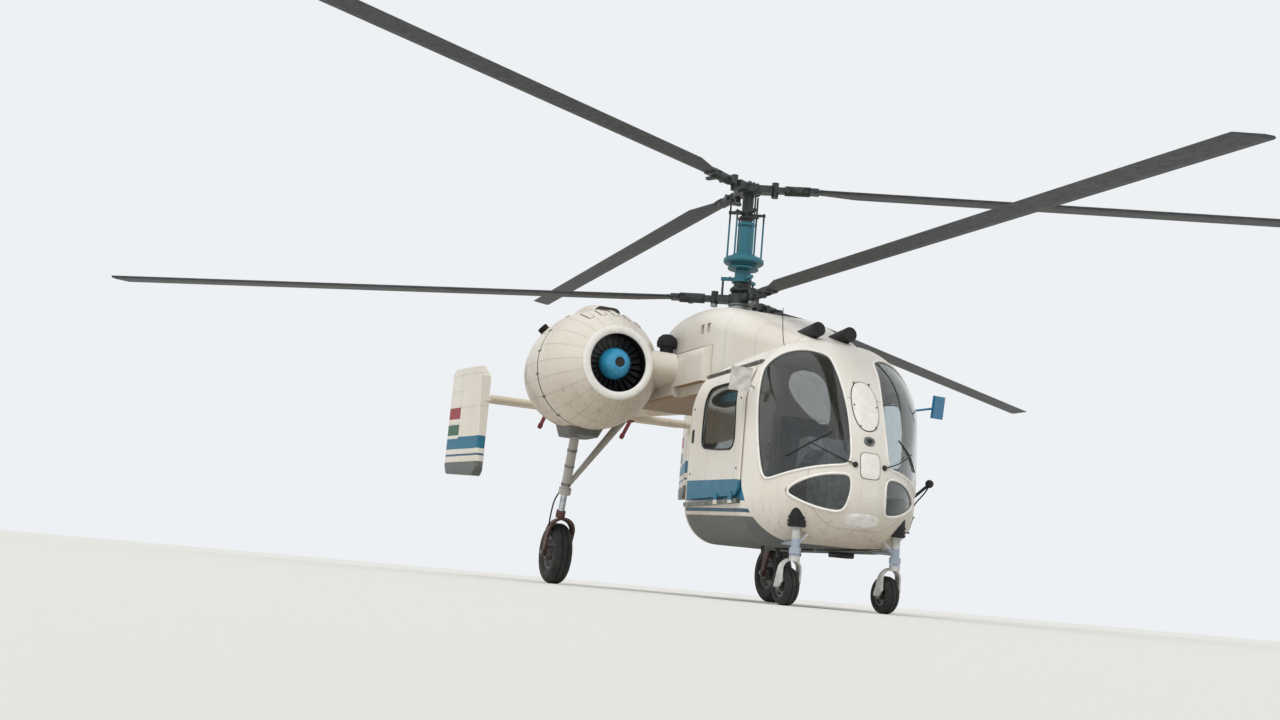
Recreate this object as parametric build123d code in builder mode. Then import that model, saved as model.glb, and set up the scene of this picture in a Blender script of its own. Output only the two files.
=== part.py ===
from build123d import *
import math
import os

os.makedirs("parts", exist_ok=True)

# Sizes are in millimetres. The nose points to -Y, the port side is +X, the mast is the Z axis
# and the ground is z = 0.
RUN_GAP = 0.08  # radial running clearance of shafts and pins
SEAT_GAP = 0.3  # gap left under pieces that seat on a curved skin

# Cabin
WALL = 26
CABIN_REAR = -700
CABIN_FRONT = -1950
HALF_REAR = 705
HALF_FRONT = 775
BELLY_Z = 470
ROOF_Z = 2170
R_LOW = 330
R_HIGH = 600
FLOOR_Z = 700
FLOOR_THICK = 24
FLOOR_FRONT = CABIN_FRONT - 490
GLASS_INSET = 8
GLASS_THICK = 6
GLASS_GAP = 0.5
NOSE_STATIONS = [
    # ahead of the straight part, half width lost, belly rise, roof drop, lower corner radius, upper corner radius
    (0, 0, 0, 0, R_LOW, R_HIGH),
    (150, 50, 22, 75, 350, R_HIGH - 25),
    (290, 132, 58, 190, 360, R_HIGH - 65),
    (410, 235, 105, 345, 360, R_HIGH - 130),
    (510, 350, 165, 550, 320, 370),
    (590, 480, 245, 765, 235, 250),
    (640, 600, 330, 960, 140, 140),
    (660, 690, 405, 1085, 65, 65),
]
NOSE_LENGTH = 660

# Doors
DOOR_REAR = -775
DOOR_FRONT = -1925
DOOR_LOW = 832
DOOR_HIGH = 1895
DOOR_THICK = 24
DOOR_STANDOFF = 8
DOOR_LAP = 40
DOOR_TRAVEL = 700
RAIL_GAP = 26
RAIL_DEEP = 34
RAIL_HIGH = DOOR_LOW - RAIL_GAP
RAIL_LOW = RAIL_HIGH - RAIL_DEEP
RAIL_OUT = 30

# Rotors
ROTOR_R = 6500
BLADE_ROOT = 640
BLADE_CHORD = 250
BLADE_THICK = 28
BLADE_DROOP = 1.2
TIP_RAKE = 66
LOWER_HUB_Z = 2850
UPPER_HUB_Z = 3960
SHAFT_R = 55
SLEEVE_R = 78
MAST_TOP = LOWER_HUB_Z - 75
EYE_HOLE_R = 14
MAST_FLANGE_R = 200

# Nacelles
NAC_X = 1250
NAC_Z = 2050
NAC_LIP_Y = -150
NAC_LIP_R = 335
NAC_R = 572
NAC_WIDE_Y = 480
NAC_STRAIGHT_END = 650
NAC_TAIL_Y = 1820
NAC_TAIL_R = 150
NAC_WALL = 26
DUCT_R = 290
FAN_R = 274
FAN_Y = -20
FAN_BLADES = 24
SPINNER_R = 122
ENGINE_R = 455
ENGINE_FRONT = 260
ENGINE_REAR = 1080

# Centre section and tail
CENTRE_HALF = 650
CENTRE_LOW = 1820
CENTRE_HIGH = 2255
CENTRE_REAR = 1120
BOOM_X = 540
BOOM_FRONT_Z = 2092
BOOM_END_Y = 4200
BOOM_END_Z = 2268
BOOM_R_FRONT = 172
BOOM_R_END = 160
TAILPLANE_Y = 3960
TAILPLANE_CHORD = 330
ELEVATOR_CHORD = 190
TAILPLANE_Z = 2095
TAILPLANE_HALF = 1290
FIN_X = 1345
FIN_LOW = 1165
FIN_HIGH = 2485
FIN_CHORD = 560
RUDDER_CHORD = 300
FIN_TOE_IN = 15
FIN_LEAD_Y = 4000

# Landing gear
MAIN_X = 1210
MAIN_AXLE_Y = 1280
MAIN_TYRE_R = 297.5
MAIN_TYRE_W = 185
NOSE_X = 450
NOSE_PIVOT_Y = -2310
NOSE_AXLE_Y = -2190
NOSE_TYRE_R = 150
NOSE_TYRE_W = 125


def cabin_section(y, half, low, high, r_low, r_high):
    with BuildSketch(Plane.XZ.offset(-y)) as section:
        with Locations((0, (low + high) / 2)):
            Rectangle(2 * half, high - low)
        fillet(section.vertices().group_by(Axis.Y)[-1], r_high)
        fillet(section.vertices().group_by(Axis.Y)[0], r_low)
    return section.sketch.faces()[0]


def cabin_form(inset):
    # The straight part keeps its height, so that a door can slide along its sides.
    rear = cabin_section(CABIN_REAR, HALF_REAR - inset, BELLY_Z + inset, ROOF_Z - inset,
                         R_LOW - inset, R_HIGH - inset)
    front = cabin_section(CABIN_FRONT, HALF_FRONT - inset, BELLY_Z + inset, ROOF_Z - inset,
                          R_LOW - inset, R_HIGH - inset)
    nose = []
    for ahead, narrower, rise, drop, r_low, r_high in NOSE_STATIONS:
        y = CABIN_FRONT - ahead + inset * ahead / NOSE_LENGTH
        nose.append(cabin_section(y, HALF_FRONT - narrower - inset, BELLY_Z + rise + inset, ROOF_Z - drop - inset,
                                  max(r_low - inset, 12), max(r_high - inset, 12)))
    with BuildPart() as form:
        loft([rear, front], ruled=True)
        loft(nose)
    return form.part


def side_strip(inner, outer, low, high, front_y, length):
    # A strip that follows the cabin side, offset outward and drawn along the slope of the side.
    centre_x = HALF_FRONT - R_HIGH
    centre_z = ROOF_Z - R_HIGH
    slope = (HALF_REAR - HALF_FRONT) / (CABIN_REAR - CABIN_FRONT)
    shift = slope * (front_y - CABIN_FRONT)
    turn = math.asin((high - centre_z) / R_HIGH)
    r_in = R_HIGH + inner
    r_out = R_HIGH + outer
    cos_t = math.cos(turn)
    sin_t = math.sin(turn)
    mid_c = math.cos(turn / 2)
    mid_s = math.sin(turn / 2)
    cx = centre_x + shift
    with BuildPart() as strip:
        with BuildSketch(Plane.XZ.offset(-front_y)):
            with BuildLine():
                Polyline((cx + r_in, centre_z), (cx + r_in, low), (cx + r_out, low), (cx + r_out, centre_z))
                ThreePointArc((cx + r_out, centre_z), (cx + r_out * mid_c, centre_z + r_out * mid_s),
                              (cx + r_out * cos_t, centre_z + r_out * sin_t))
                Line((cx + r_out * cos_t, centre_z + r_out * sin_t), (cx + r_in * cos_t, centre_z + r_in * sin_t))
                ThreePointArc((cx + r_in * cos_t, centre_z + r_in * sin_t),
                              (cx + r_in * mid_c, centre_z + r_in * mid_s), (cx + r_in, centre_z))
            make_face()
        extrude(amount=length, dir=(slope, 1, 0))
    return strip.part


cabin_outer = cabin_form(0)
cabin_inner = cabin_form(WALL)
cabin_seat = cabin_form(-SEAT_GAP)
glass_outer = cabin_form(GLASS_INSET)
glass_inner = cabin_form(GLASS_INSET + GLASS_THICK)

# Windscreen and chin window outlines, drawn on planes that face the starboard quarter
SCREEN_PLANE = Plane(origin=(HALF_FRONT - 1075, CABIN_FRONT - 50, ROOF_Z - 720), x_dir=(0.72, -0.62, 0),
                     z_dir=(-0.62, -0.72, 0.3))
CHIN_PLANE = Plane(origin=(HALF_FRONT - 1025, CABIN_FRONT - 300, BELLY_Z + 480), x_dir=(0.72, -0.62, 0),
                   z_dir=(-0.5, -0.8, -0.1))
WINDSCREEN = [
    # corner, and a point that the edge passes on its way to the next corner
    ((-292, 330), (-288, -140)),
    ((-205, -598), (150, -502)),
    ((490, -432), (415, 40)),
    ((215, 505), (-50, 530)),
]
CHIN_WINDOW = [
    ((-262, -42), (-45, -140)),
    ((205, -182), (262, -40)),
    ((262, 112), (20, 100)),
]


def screen_prism(plane, outline, radius):
    with BuildPart() as prism:
        with BuildSketch(plane) as face:
            with BuildLine():
                for (corner, through), (following, _) in zip(outline, outline[1:] + outline[:1]):
                    ThreePointArc(corner, through, following)
            make_face()
            fillet(face.vertices(), radius)
        extrude(amount=700)
        mirror(about=Plane.YZ)
    return prism.part


screen_hole = screen_prism(SCREEN_PLANE, WINDSCREEN, 60)
chin_hole = screen_prism(CHIN_PLANE, CHIN_WINDOW, 28)

# Cabin nose shell with its windscreen frames
with BuildPart() as cabin_nose:
    add(cabin_outer)
    add(cabin_inner, mode=Mode.SUBTRACT)
    with Locations((0, CABIN_FRONT - 500, 1300)):
        Box(2000, 1000, 2400, mode=Mode.INTERSECT)
    add(screen_hole, mode=Mode.SUBTRACT)
    add(chin_hole, mode=Mode.SUBTRACT)
cabin_nose.part.label = "cabin_nose"

# Windscreens
with BuildPart() as glass_skin:
    add(glass_outer)
    add(glass_inner, mode=Mode.SUBTRACT)
pane_cutters = screen_hole.solids() + chin_hole.solids()
panes = [pane for cutter in pane_cutters for pane in (glass_skin.part & cutter).solids()]
with BuildPart() as windscreens:
    add(panes)
windscreens.part.label = "windscreens"

# Belly, roof and side posts of the straight part
with BuildPart() as cabin_belly:
    add(cabin_outer)
    add(cabin_inner, mode=Mode.SUBTRACT)
    with Locations((0, (CABIN_REAR + CABIN_FRONT) / 2, (BELLY_Z + DOOR_LOW + DOOR_LAP) / 2 - 50)):
        Box(2000, CABIN_REAR - CABIN_FRONT, DOOR_LOW + DOOR_LAP - BELLY_Z + 100, mode=Mode.INTERSECT)
cabin_belly.part.label = "cabin_belly"

with BuildPart() as cabin_roof:
    add(cabin_outer)
    add(cabin_inner, mode=Mode.SUBTRACT)
    with Locations((0, (CABIN_REAR + CABIN_FRONT) / 2, DOOR_HIGH - DOOR_LAP + 250)):
        Box(2000, CABIN_REAR - CABIN_FRONT, 500, mode=Mode.INTERSECT)
cabin_roof.part.label = "cabin_roof"

post_low = DOOR_LOW + DOOR_LAP
post_high = DOOR_HIGH - DOOR_LAP
with BuildPart() as cabin_posts:
    add(cabin_outer)
    add(cabin_inner, mode=Mode.SUBTRACT)
    with Locations((0, (CABIN_REAR + CABIN_FRONT) / 2, (post_low + post_high) / 2)):
        Box(2000, CABIN_REAR - CABIN_FRONT, post_high - post_low, mode=Mode.INTERSECT)
    with Locations((0, (DOOR_REAR + DOOR_FRONT) / 2, (post_low + post_high) / 2)):
        Box(2000, DOOR_REAR - DOOR_FRONT - 2 * DOOR_LAP, 2000, mode=Mode.SUBTRACT)
cabin_posts.part.label = "cabin_posts"

# Rear bulkhead with pressed beads
with BuildPart() as cabin_bulkhead:
    add(extrude(cabin_section(CABIN_REAR, HALF_REAR, BELLY_Z, ROOF_Z, R_LOW, R_HIGH), amount=-WALL,
                mode=Mode.PRIVATE))
    with Locations(*[(0, CABIN_REAR + WALL, z) for z in (800, 1060, 1320, 1580)]):
        Box(900, 12, 40)
cabin_bulkhead.part.label = "cabin_bulkhead"

with BuildPart() as cabin_floor:
    add(cabin_form(WALL + SEAT_GAP))
    with Locations((0, (CABIN_REAR + FLOOR_FRONT) / 2, FLOOR_Z - FLOOR_THICK / 2)):
        Box(2000, CABIN_REAR - FLOOR_FRONT - 2 * SEAT_GAP, FLOOR_THICK, mode=Mode.INTERSECT)
cabin_floor.part.label = "cabin_floor"

# Doors, their glass and the rails that carry them
WINDOW = [
    # distance forward of the door's rear edge, height above its lower edge
    (270, 425),
    (1045, 365),
    (985, 955),
    (300, 965),
]


def window_prism(grow):
    with BuildPart() as prism:
        with BuildSketch(Plane.YZ) as face:
            with BuildLine():
                Polyline(*[(DOOR_REAR - ahead, DOOR_LOW + up) for ahead, up in WINDOW], close=True)
            make_face()
            fillet(face.vertices(), 105)
            if grow:
                offset(amount=grow)
        extrude(amount=1200)
    return prism.part


door_skin = side_strip(DOOR_STANDOFF, DOOR_STANDOFF + DOOR_THICK, DOOR_LOW, DOOR_HIGH, DOOR_FRONT,
                       DOOR_REAR - DOOR_FRONT)
pane_skin = side_strip(DOOR_STANDOFF + 9, DOOR_STANDOFF + 15, DOOR_LOW, DOOR_HIGH, DOOR_FRONT,
                       DOOR_REAR - DOOR_FRONT)
door_slope = (HALF_REAR - HALF_FRONT) / (CABIN_REAR - CABIN_FRONT)


def side_x(y):
    return HALF_FRONT + door_slope * (y - CABIN_FRONT)


with BuildPart() as door_left:
    add(door_skin)
    with BuildSketch(Plane.YZ):
        with Locations(((DOOR_REAR + DOOR_FRONT) / 2, (DOOR_LOW + DOOR_HIGH) / 2)):
            RectangleRounded(DOOR_REAR - DOOR_FRONT, DOOR_HIGH - DOOR_LOW, 70)
    extrude(amount=1200, mode=Mode.INTERSECT)
    add(window_prism(0), mode=Mode.SUBTRACT)
    for y in (DOOR_FRONT + 120, DOOR_FRONT + 440):
        x = side_x(y) + RAIL_OUT
        with Locations((x + SEAT_GAP + 2 + 5, y, (RAIL_LOW + DOOR_LOW + 30) / 2)):
            Box(10, 60, DOOR_LOW + 30 - RAIL_LOW)
        with Locations((x - 8, y, RAIL_HIGH + SEAT_GAP + 6)):
            Box(40, 60, 12)
door_left.part.label = "door_left"

with BuildPart() as door_glass_left:
    add(pane_skin)
    add(window_prism(-GLASS_GAP), mode=Mode.INTERSECT)
door_glass_left.part.label = "door_glass_left"

with BuildPart() as door_right:
    mirror(door_left.part, about=Plane.YZ)
door_right.part.label = "door_right"

with BuildPart() as door_glass_right:
    mirror(door_glass_left.part, about=Plane.YZ)
door_glass_right.part.label = "door_glass_right"

RAIL_FRONT = CABIN_FRONT + 15
RAIL_REAR = CABIN_REAR - 10
GUTTER_Z = DOOR_HIGH + 45
gutter_x = side_x(RAIL_FRONT) - R_HIGH + math.sqrt(R_HIGH ** 2 - (GUTTER_Z - ROOF_Z + R_HIGH) ** 2)
with BuildPart() as door_rails:
    with BuildSketch(Plane.XZ.offset(-RAIL_FRONT)):
        with Locations((side_x(RAIL_FRONT) + RAIL_OUT - 30, (RAIL_LOW + RAIL_HIGH) / 2)):
            Rectangle(60, RAIL_HIGH - RAIL_LOW)
        with Locations((gutter_x - 15, GUTTER_Z)):
            Rectangle(80, 24)
    extrude(amount=RAIL_REAR - RAIL_FRONT, dir=(door_slope, 1, 0))
    add(cabin_seat, mode=Mode.SUBTRACT)
    mirror(about=Plane.YZ)
door_rails.part.label = "door_rails"

# Cabin fittings
SEAT_X = 350
SEAT_Y = -1130
SEAT_TOP = FLOOR_Z + 410
CONSOLE_Y = CABIN_FRONT - 50
STICK_Y = SEAT_Y - 430
with BuildPart() as seat_frames:
    with Locations((SEAT_X, SEAT_Y - 20, (FLOOR_Z + SEAT_TOP - 110) / 2)):
        Box(360, 380, SEAT_TOP - 110 - FLOOR_Z)
    with Locations((SEAT_X, SEAT_Y - 20, SEAT_TOP - 100)):
        Box(450, 470, 20)
    with Locations(Location((SEAT_X, SEAT_Y + 270, SEAT_TOP + 220), (-10, 0, 0))):
        Box(450, 20, 700)
    mirror(about=Plane.YZ)
seat_frames.part.label = "seat_frames"

with BuildPart() as seat_cushions:
    with Locations((SEAT_X, SEAT_Y - 20, SEAT_TOP - 45)):
        Box(440, 450, 88)
    with Locations(Location((SEAT_X, SEAT_Y + 270, SEAT_TOP + 220), (-10, 0, 0))):
        with Locations((0, -45, 60)):
            Box(440, 70, 540)
    mirror(about=Plane.YZ)
seat_cushions.part.label = "seat_cushions"

with BuildPart() as instrument_console:
    with BuildSketch(Plane.YZ):
        with BuildLine():
            Polyline(*[(CONSOLE_Y + back, FLOOR_Z + up) for back, up in (
                (-330, 0), (0, 0), (40, 310), (-40, 630), (-180, 650), (-300, 480))], close=True)
        make_face()
    extrude(amount=200, both=True)
    with BuildSketch(Plane.YZ):
        with BuildLine():
            Polyline(*[(CONSOLE_Y + back, FLOOR_Z + up) for back, up in (
                (10, 380), (-45, 630), (-170, 645), (-230, 540))], close=True)
        make_face()
    extrude(amount=330, both=True)
instrument_console.part.label = "instrument_console"

with BuildPart() as flight_controls:
    for x in (-SEAT_X, SEAT_X):
        with Locations((x, STICK_Y, FLOOR_Z + 15)):
            Cylinder(60, 30)
        with BuildLine():
            Spline((x, STICK_Y, FLOOR_Z + 20), (x, STICK_Y - 60, FLOOR_Z + 330), (x, STICK_Y + 40, FLOOR_Z + 520))
        sweep_start = Plane(origin=(x, STICK_Y, FLOOR_Z + 20), z_dir=(0, -0.1, 1))
        with BuildSketch(sweep_start):
            Circle(14)
        sweep()
        with Locations(Location((x, STICK_Y + 45, FLOOR_Z + 560), (-20, 0, 0))):
            Cylinder(22, 120)
flight_controls.part.label = "flight_controls"

# Centre section between cabin and tail, open below for the payload
HOLE_X = 520
HOLE_FRONT = -520
HOLE_REAR = 960
HOLE_R = 9
LAND_RISE = 6
LAND_Y = (895, 1085)
POCKET_DEEP = 72  # room at the lower edges for the doors when they are open
POCKET_FRONT = CABIN_REAR + WALL
POCKET_REAR = DOOR_REAR + DOOR_TRAVEL + 22
POCKET_HIGH = DOOR_HIGH + 16
with BuildPart() as centre_section:
    with BuildSketch(Plane.XZ.offset(-CABIN_REAR - WALL)) as centre_face:
        with Locations((0, (CENTRE_LOW + CENTRE_HIGH) / 2)):
            Rectangle(2 * CENTRE_HALF, CENTRE_HIGH - CENTRE_LOW)
        fillet(centre_face.vertices().group_by(Axis.Y)[0], 30)
        fillet(centre_face.vertices().group_by(Axis.Y)[-1], 120)
    extrude(amount=CABIN_REAR + WALL - CENTRE_REAR)
    with Locations(*[(x, y, CENTRE_LOW) for x in (-HOLE_X, HOLE_X) for y in (HOLE_FRONT, HOLE_REAR)]):
        Cylinder(HOLE_R, 120, mode=Mode.SUBTRACT)
    with Locations(*[(x, sum(LAND_Y) / 2, CENTRE_LOW) for x in (-CENTRE_HALF, CENTRE_HALF)]):
        Box(160, LAND_Y[1] - LAND_Y[0] + 64, 2 * LAND_RISE, mode=Mode.SUBTRACT)
    with Locations(*[(x, (POCKET_FRONT + POCKET_REAR) / 2, CENTRE_LOW) for x in (-CENTRE_HALF, CENTRE_HALF)]):
        Box(2 * POCKET_DEEP, POCKET_REAR - POCKET_FRONT, 2 * (POCKET_HIGH - CENTRE_LOW), mode=Mode.SUBTRACT)
centre_section.part.label = "centre_section"

# Gearbox fairing over the cabin roof and the centre section
FAIRING_STATIONS = [
    # y, half width, height over the cabin roof, upper corner radius
    (-1985, 130, -40, 60),
    (-1700, 360, 92, 130),
    (-1150, 500, 298, 200),
    (-640, 560, 455, 230),
    (-100, 570, 515, 240),
    (420, 540, 490, 230),
    (880, 430, 330, 170),
    (1115, 300, 160, 60),
]
FAIRING_LOW = ROOF_Z - 270


def fairing_section(y, half, rise, r_top):
    top = ROOF_Z + rise
    with BuildSketch(Plane.XZ.offset(-y)) as section:
        with Locations((0, (top + FAIRING_LOW) / 2)):
            Rectangle(2 * half, top - FAIRING_LOW)
        fillet(section.vertices().group_by(Axis.Y)[-1], r_top)
    return section.sketch.faces()[0]


with BuildPart() as centre_seat:
    with Locations((0, (CABIN_REAR + WALL + CENTRE_REAR) / 2, 0)):
        Box(2 * CENTRE_HALF, CENTRE_REAR - CABIN_REAR + 2 * SEAT_GAP, 2 * (CENTRE_HIGH + SEAT_GAP))

bulkhead_seat = extrude(cabin_section(CABIN_REAR, HALF_REAR + SEAT_GAP, BELLY_Z, ROOF_Z + SEAT_GAP, R_LOW, R_HIGH),
                        amount=-WALL - SEAT_GAP)

with BuildPart() as gearbox_fairing:
    loft([fairing_section(*row) for row in FAIRING_STATIONS])
    add(cabin_seat, mode=Mode.SUBTRACT)
    add(bulkhead_seat, mode=Mode.SUBTRACT)
    add(centre_seat.part, mode=Mode.SUBTRACT)
    with Locations((0, 0, MAST_TOP - 215 + 200)):
        Cylinder(MAST_FLANGE_R, 400, mode=Mode.SUBTRACT)
    for y in (-560, -440):
        with Locations((0, y, 2420)):
            Box(1400, 70, 90, mode=Mode.SUBTRACT)
gearbox_fairing.part.label = "gearbox_fairing"

# Round cooling intakes on the fairing's front and domes on its flanks
with BuildPart() as roof_intakes:
    for x, y, z in ((150, -1900, 2250), (-150, -1900, 2250)):
        with BuildSketch(Plane(origin=(x, y + 330, z), z_dir=(0, -1, 0.1))):
            Circle(62)
        extrude(amount=330)
    add(gearbox_fairing.part, mode=Mode.SUBTRACT)
    add(cabin_seat, mode=Mode.SUBTRACT)
roof_intakes.part.label = "roof_intakes"

# Fixed mast collar
with BuildPart() as mast_collar:
    with BuildSketch(Plane.XZ):
        with BuildLine():
            Polyline((SLEEVE_R + RUN_GAP, MAST_TOP - 215), (MAST_FLANGE_R - SEAT_GAP, MAST_TOP - 215),
                     (MAST_FLANGE_R - SEAT_GAP, MAST_TOP - 63), (130, MAST_TOP - 40), (115, MAST_TOP), (SLEEVE_R + RUN_GAP, MAST_TOP), close=True)
        make_face()
    revolve(axis=Axis.Z)
mast_collar.part.label = "mast_collar"


def ring(r_in, r_out, low, high, edge=0):
    with BuildPart() as piece:
        with Locations((0, 0, (low + high) / 2)):
            Cylinder(r_out, high - low)
        if edge:
            chamfer(piece.edges().filter_by(GeomType.CIRCLE), edge)
        if r_in:
            with Locations((0, 0, (low + high) / 2)):
                Cylinder(r_in, high - low + 1, mode=Mode.SUBTRACT)
    return piece.part


def blade_set(hub_z, first, sense):
    # Three tapering blades with a pitch grip end, each drooping from its hinge.
    tip = (ROTOR_R - BLADE_ROOT) / math.cos(math.radians(BLADE_DROOP))
    with BuildPart() as blade:
        for x in (0, (ROTOR_R - BLADE_ROOT) / math.cos(math.radians(BLADE_DROOP)) + 0.1):
            with BuildSketch(Plane.YZ.offset(x)):
                with BuildLine():
                    Polyline((-BLADE_CHORD * 0.28, 0), (-BLADE_CHORD * 0.24, BLADE_THICK * 0.38),
                             (-BLADE_CHORD * 0.02, BLADE_THICK / 2), (BLADE_CHORD * 0.3, BLADE_THICK * 0.3),
                             (BLADE_CHORD * 0.72, 1.5), (BLADE_CHORD * 0.72, -1.5),
                             (BLADE_CHORD * 0.3, -BLADE_THICK * 0.3), (-BLADE_CHORD * 0.02, -BLADE_THICK / 2),
                             (-BLADE_CHORD * 0.24, -BLADE_THICK * 0.38), close=True)
                make_face()
        loft()
        with BuildSketch(Plane.XY.offset(-BLADE_THICK)):
            with BuildLine():
                Polyline((-40, -60), (0, -75), (260, -BLADE_CHORD * 0.3), (ROTOR_R, -BLADE_CHORD * 0.3),
                         (tip, -BLADE_CHORD * 0.28), (tip - TIP_RAKE, BLADE_CHORD * 0.73),
                         (430, BLADE_CHORD * 0.75), (60, 75), (-40, 60), close=True)
            make_face()
        extrude(amount=2 * BLADE_THICK, mode=Mode.INTERSECT)
        with Locations((20, 0, 0)):
            Box(120, 110, BLADE_THICK)
        if sense < 0:
            mirror(about=Plane.XZ, mode=Mode.REPLACE)
    with BuildPart() as blades:
        for turn in (0, 120, 240):
            add(blade.part.moved(Location((0, 0, 0), (0, BLADE_DROOP, 0))).moved(Location((BLADE_ROOT, 0, hub_z)))
                .moved(Location((0, 0, 0), (0, 0, first + turn))))
    return blades.part


def hub_arms(hub_z, first):
    # A hub block with drag and flap hinge yokes and round pitch grips for three blades.
    with BuildPart() as arm:
        with Locations((150, 0, 0)):
            Box(160, 120, 70)
        with Locations((255, 0, 0)):
            Cylinder(34, 150)
        with Locations((330, 0, 0)):
            Box(150, 70, 56)
        with Locations(Location((470, 0, 0), (0, 90, 0))):
            Cylinder(48, 240)
        with Locations(Location((385, 0, 0), (90, 0, 0))):
            Cylinder(30, 150)
        with Locations(Location((500, -90, -14), (0, 0, 0))):
            Box(44, 120, 26)
    with BuildPart() as plates:
        for z in (-BLADE_THICK / 2 - 6, BLADE_THICK / 2 + 6):
            with Locations((-30, 0, z)):
                Box(140, 110, 12)
        with Locations(Location((-70, 0, 0), (0, 90, 0))):
            Cylinder(46, 50)
    with BuildPart() as arms:
        for turn in (0, 120, 240):
            add(plates.part.moved(Location((0, 0, 0), (0, BLADE_DROOP, 0))).moved(Location((BLADE_ROOT, 0, hub_z)))
                .moved(Location((0, 0, 0), (0, 0, first + turn))))
            add(arm.part.moved(Location((0, 0, hub_z))).moved(Location((0, 0, 0), (0, 0, first + turn))))
    return arms.part


lower_first = -90
upper_first = 90

with BuildPart() as lower_blades:
    add(blade_set(LOWER_HUB_Z, lower_first, -1))
lower_blades.part.label = "lower_blades"

with BuildPart() as upper_blades:
    add(blade_set(UPPER_HUB_Z, upper_first, 1))
upper_blades.part.label = "upper_blades"

LOWER_SLEEVE_TOP = LOWER_HUB_Z + 285
with BuildPart() as lower_hub:
    add(ring(0, SLEEVE_R, MAST_TOP - 120, LOWER_SLEEVE_TOP))
    add(ring(0, 120, MAST_TOP + 12, LOWER_HUB_Z + 50, 8))
    add(hub_arms(LOWER_HUB_Z, lower_first))
    add(ring(0, 112, LOWER_HUB_Z + 65, LOWER_HUB_Z + 125, 20))
    add(ring(0, 100, LOWER_HUB_Z + 170, LOWER_HUB_Z + 190))
    for turn in (30, 150, 270):
        with Locations(Location((0, 0, 0), (0, 0, turn))):
            with Locations((135, 0, LOWER_HUB_Z + 205)):
                Box(140, 36, 30)
            with Locations((185, 0, LOWER_HUB_Z + 110)):
                Cylinder(11, 220)
    with Locations((0, 0, 2950)):
        Cylinder(SHAFT_R + RUN_GAP, 800, mode=Mode.SUBTRACT)
lower_hub.part.label = "lower_hub"

with BuildPart() as upper_hub:
    add(ring(0, SHAFT_R, MAST_TOP - 110, UPPER_HUB_Z))
    add(ring(0, 120, UPPER_HUB_Z - 50, UPPER_HUB_Z + 42, 8))
    add(hub_arms(UPPER_HUB_Z, upper_first))
    add(ring(0, 66, 3270, 3600))
    add(ring(0, 150, 3150, 3172, 6))
    add(ring(0, 195, 3205, 3262, 14))
    add(ring(0, 120, 3180, 3300, 10))
    add(ring(0, 84, 3585, 3618, 6))
    add(ring(0, 76, 3655, 3680, 4))
    for turn in (30, 90, 150, 210, 270, 330):
        with Locations(Location((0, 0, 0), (0, 0, turn))):
            with Locations((165, 0, 3470)):
                Cylinder(9, 500)
    for turn in (30, 150, 270):
        with Locations(Location((0, 0, 0), (0, 0, turn))):
            with Locations((90, 0, 3720)):
                Box(180, 34, 26)
            with Locations((165, 0, 3820)):
                Cylinder(9, 200)
    for turn in (90, 210, 330):
        with Locations(Location((0, 0, 0), (0, 0, turn))):
            with Locations((90, 0, 3700)):
                Box(180, 30, 22)
    with Locations(Location((0, 0, UPPER_HUB_Z + 64), (90, 0, 0))):
        Cylinder(26, 18)
        Cylinder(EYE_HOLE_R, 40, mode=Mode.SUBTRACT)
upper_hub.part.label = "upper_hub"


# Nacelles
def nacelle_profile(grow, closed_at):
    # Outer line of the cowl from its lip to the tail, grown outward by the given amount.
    r_lip = NAC_LIP_R + grow
    r_max = NAC_R + grow
    r_tail = NAC_TAIL_R + grow
    lip = (NAC_LIP_Y + 18, r_lip)
    wide = (NAC_WIDE_Y, r_max)
    flat = (NAC_STRAIGHT_END, r_max)
    tail = (NAC_TAIL_Y, r_tail)
    TangentArc(wide, lip, tangent=(-1, 0))
    Line(wide, flat)
    TangentArc(flat, tail, tangent=(1, 0))
    Polyline(tail, (NAC_TAIL_Y, 0), (closed_at, 0))
    return lip


def nacelle_solid(grow):
    with BuildPart() as body:
        with BuildSketch(Plane.YZ):
            with BuildLine():
                lip = nacelle_profile(grow, NAC_LIP_Y + 18)
                Line((NAC_LIP_Y + 18, 0), lip)
            make_face()
        revolve(axis=Axis.Y)
    return body.part.moved(Location((NAC_X, 0, NAC_Z)))


nacelle_full = nacelle_solid(0)
nacelle_seat = nacelle_solid(SEAT_GAP)
LOUVRES = 5

with BuildPart() as nacelle_left:
    with BuildSketch(Plane.YZ):
        with BuildLine():
            lip = nacelle_profile(0, ENGINE_REAR + 60)
            Line((ENGINE_REAR + 60, 0), (ENGINE_REAR + 60, NAC_R - 95))
            Line((ENGINE_REAR + 60, NAC_R - 95), (NAC_STRAIGHT_END, NAC_R - NAC_WALL))
            Line((NAC_STRAIGHT_END, NAC_R - NAC_WALL), (NAC_WIDE_Y, NAC_R - NAC_WALL))
            TangentArc((NAC_WIDE_Y, NAC_R - NAC_WALL), (140, 468), tangent=(-1, 0))
            Polyline((140, 468), (140, DUCT_R + 8), (NAC_LIP_Y + 18, DUCT_R + 8))
            ThreePointArc((NAC_LIP_Y + 18, DUCT_R + 8), (NAC_LIP_Y, (NAC_LIP_R + DUCT_R + 8) / 2), lip)
        make_face()
    revolve(axis=Axis.Y)
    with BuildSketch(Plane.YZ):
        with Locations((NAC_WIDE_Y + 20, NAC_R)):
            Rectangle(14, 16)
    revolve(axis=Axis.Y, mode=Mode.SUBTRACT)
    for k in range(LOUVRES):
        with Locations(Location((0, 0, 0), (0, -16 + 8 * k, 0))):
            with Locations(Location((0, 210 + 20 * abs(k - 2), 545), (30, 0, 0))):
                Box(46, 120, 14, mode=Mode.SUBTRACT)
nacelle_left.part = nacelle_left.part.moved(Location((NAC_X, 0, NAC_Z)))
nacelle_left.part.label = "nacelle_left"

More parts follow.
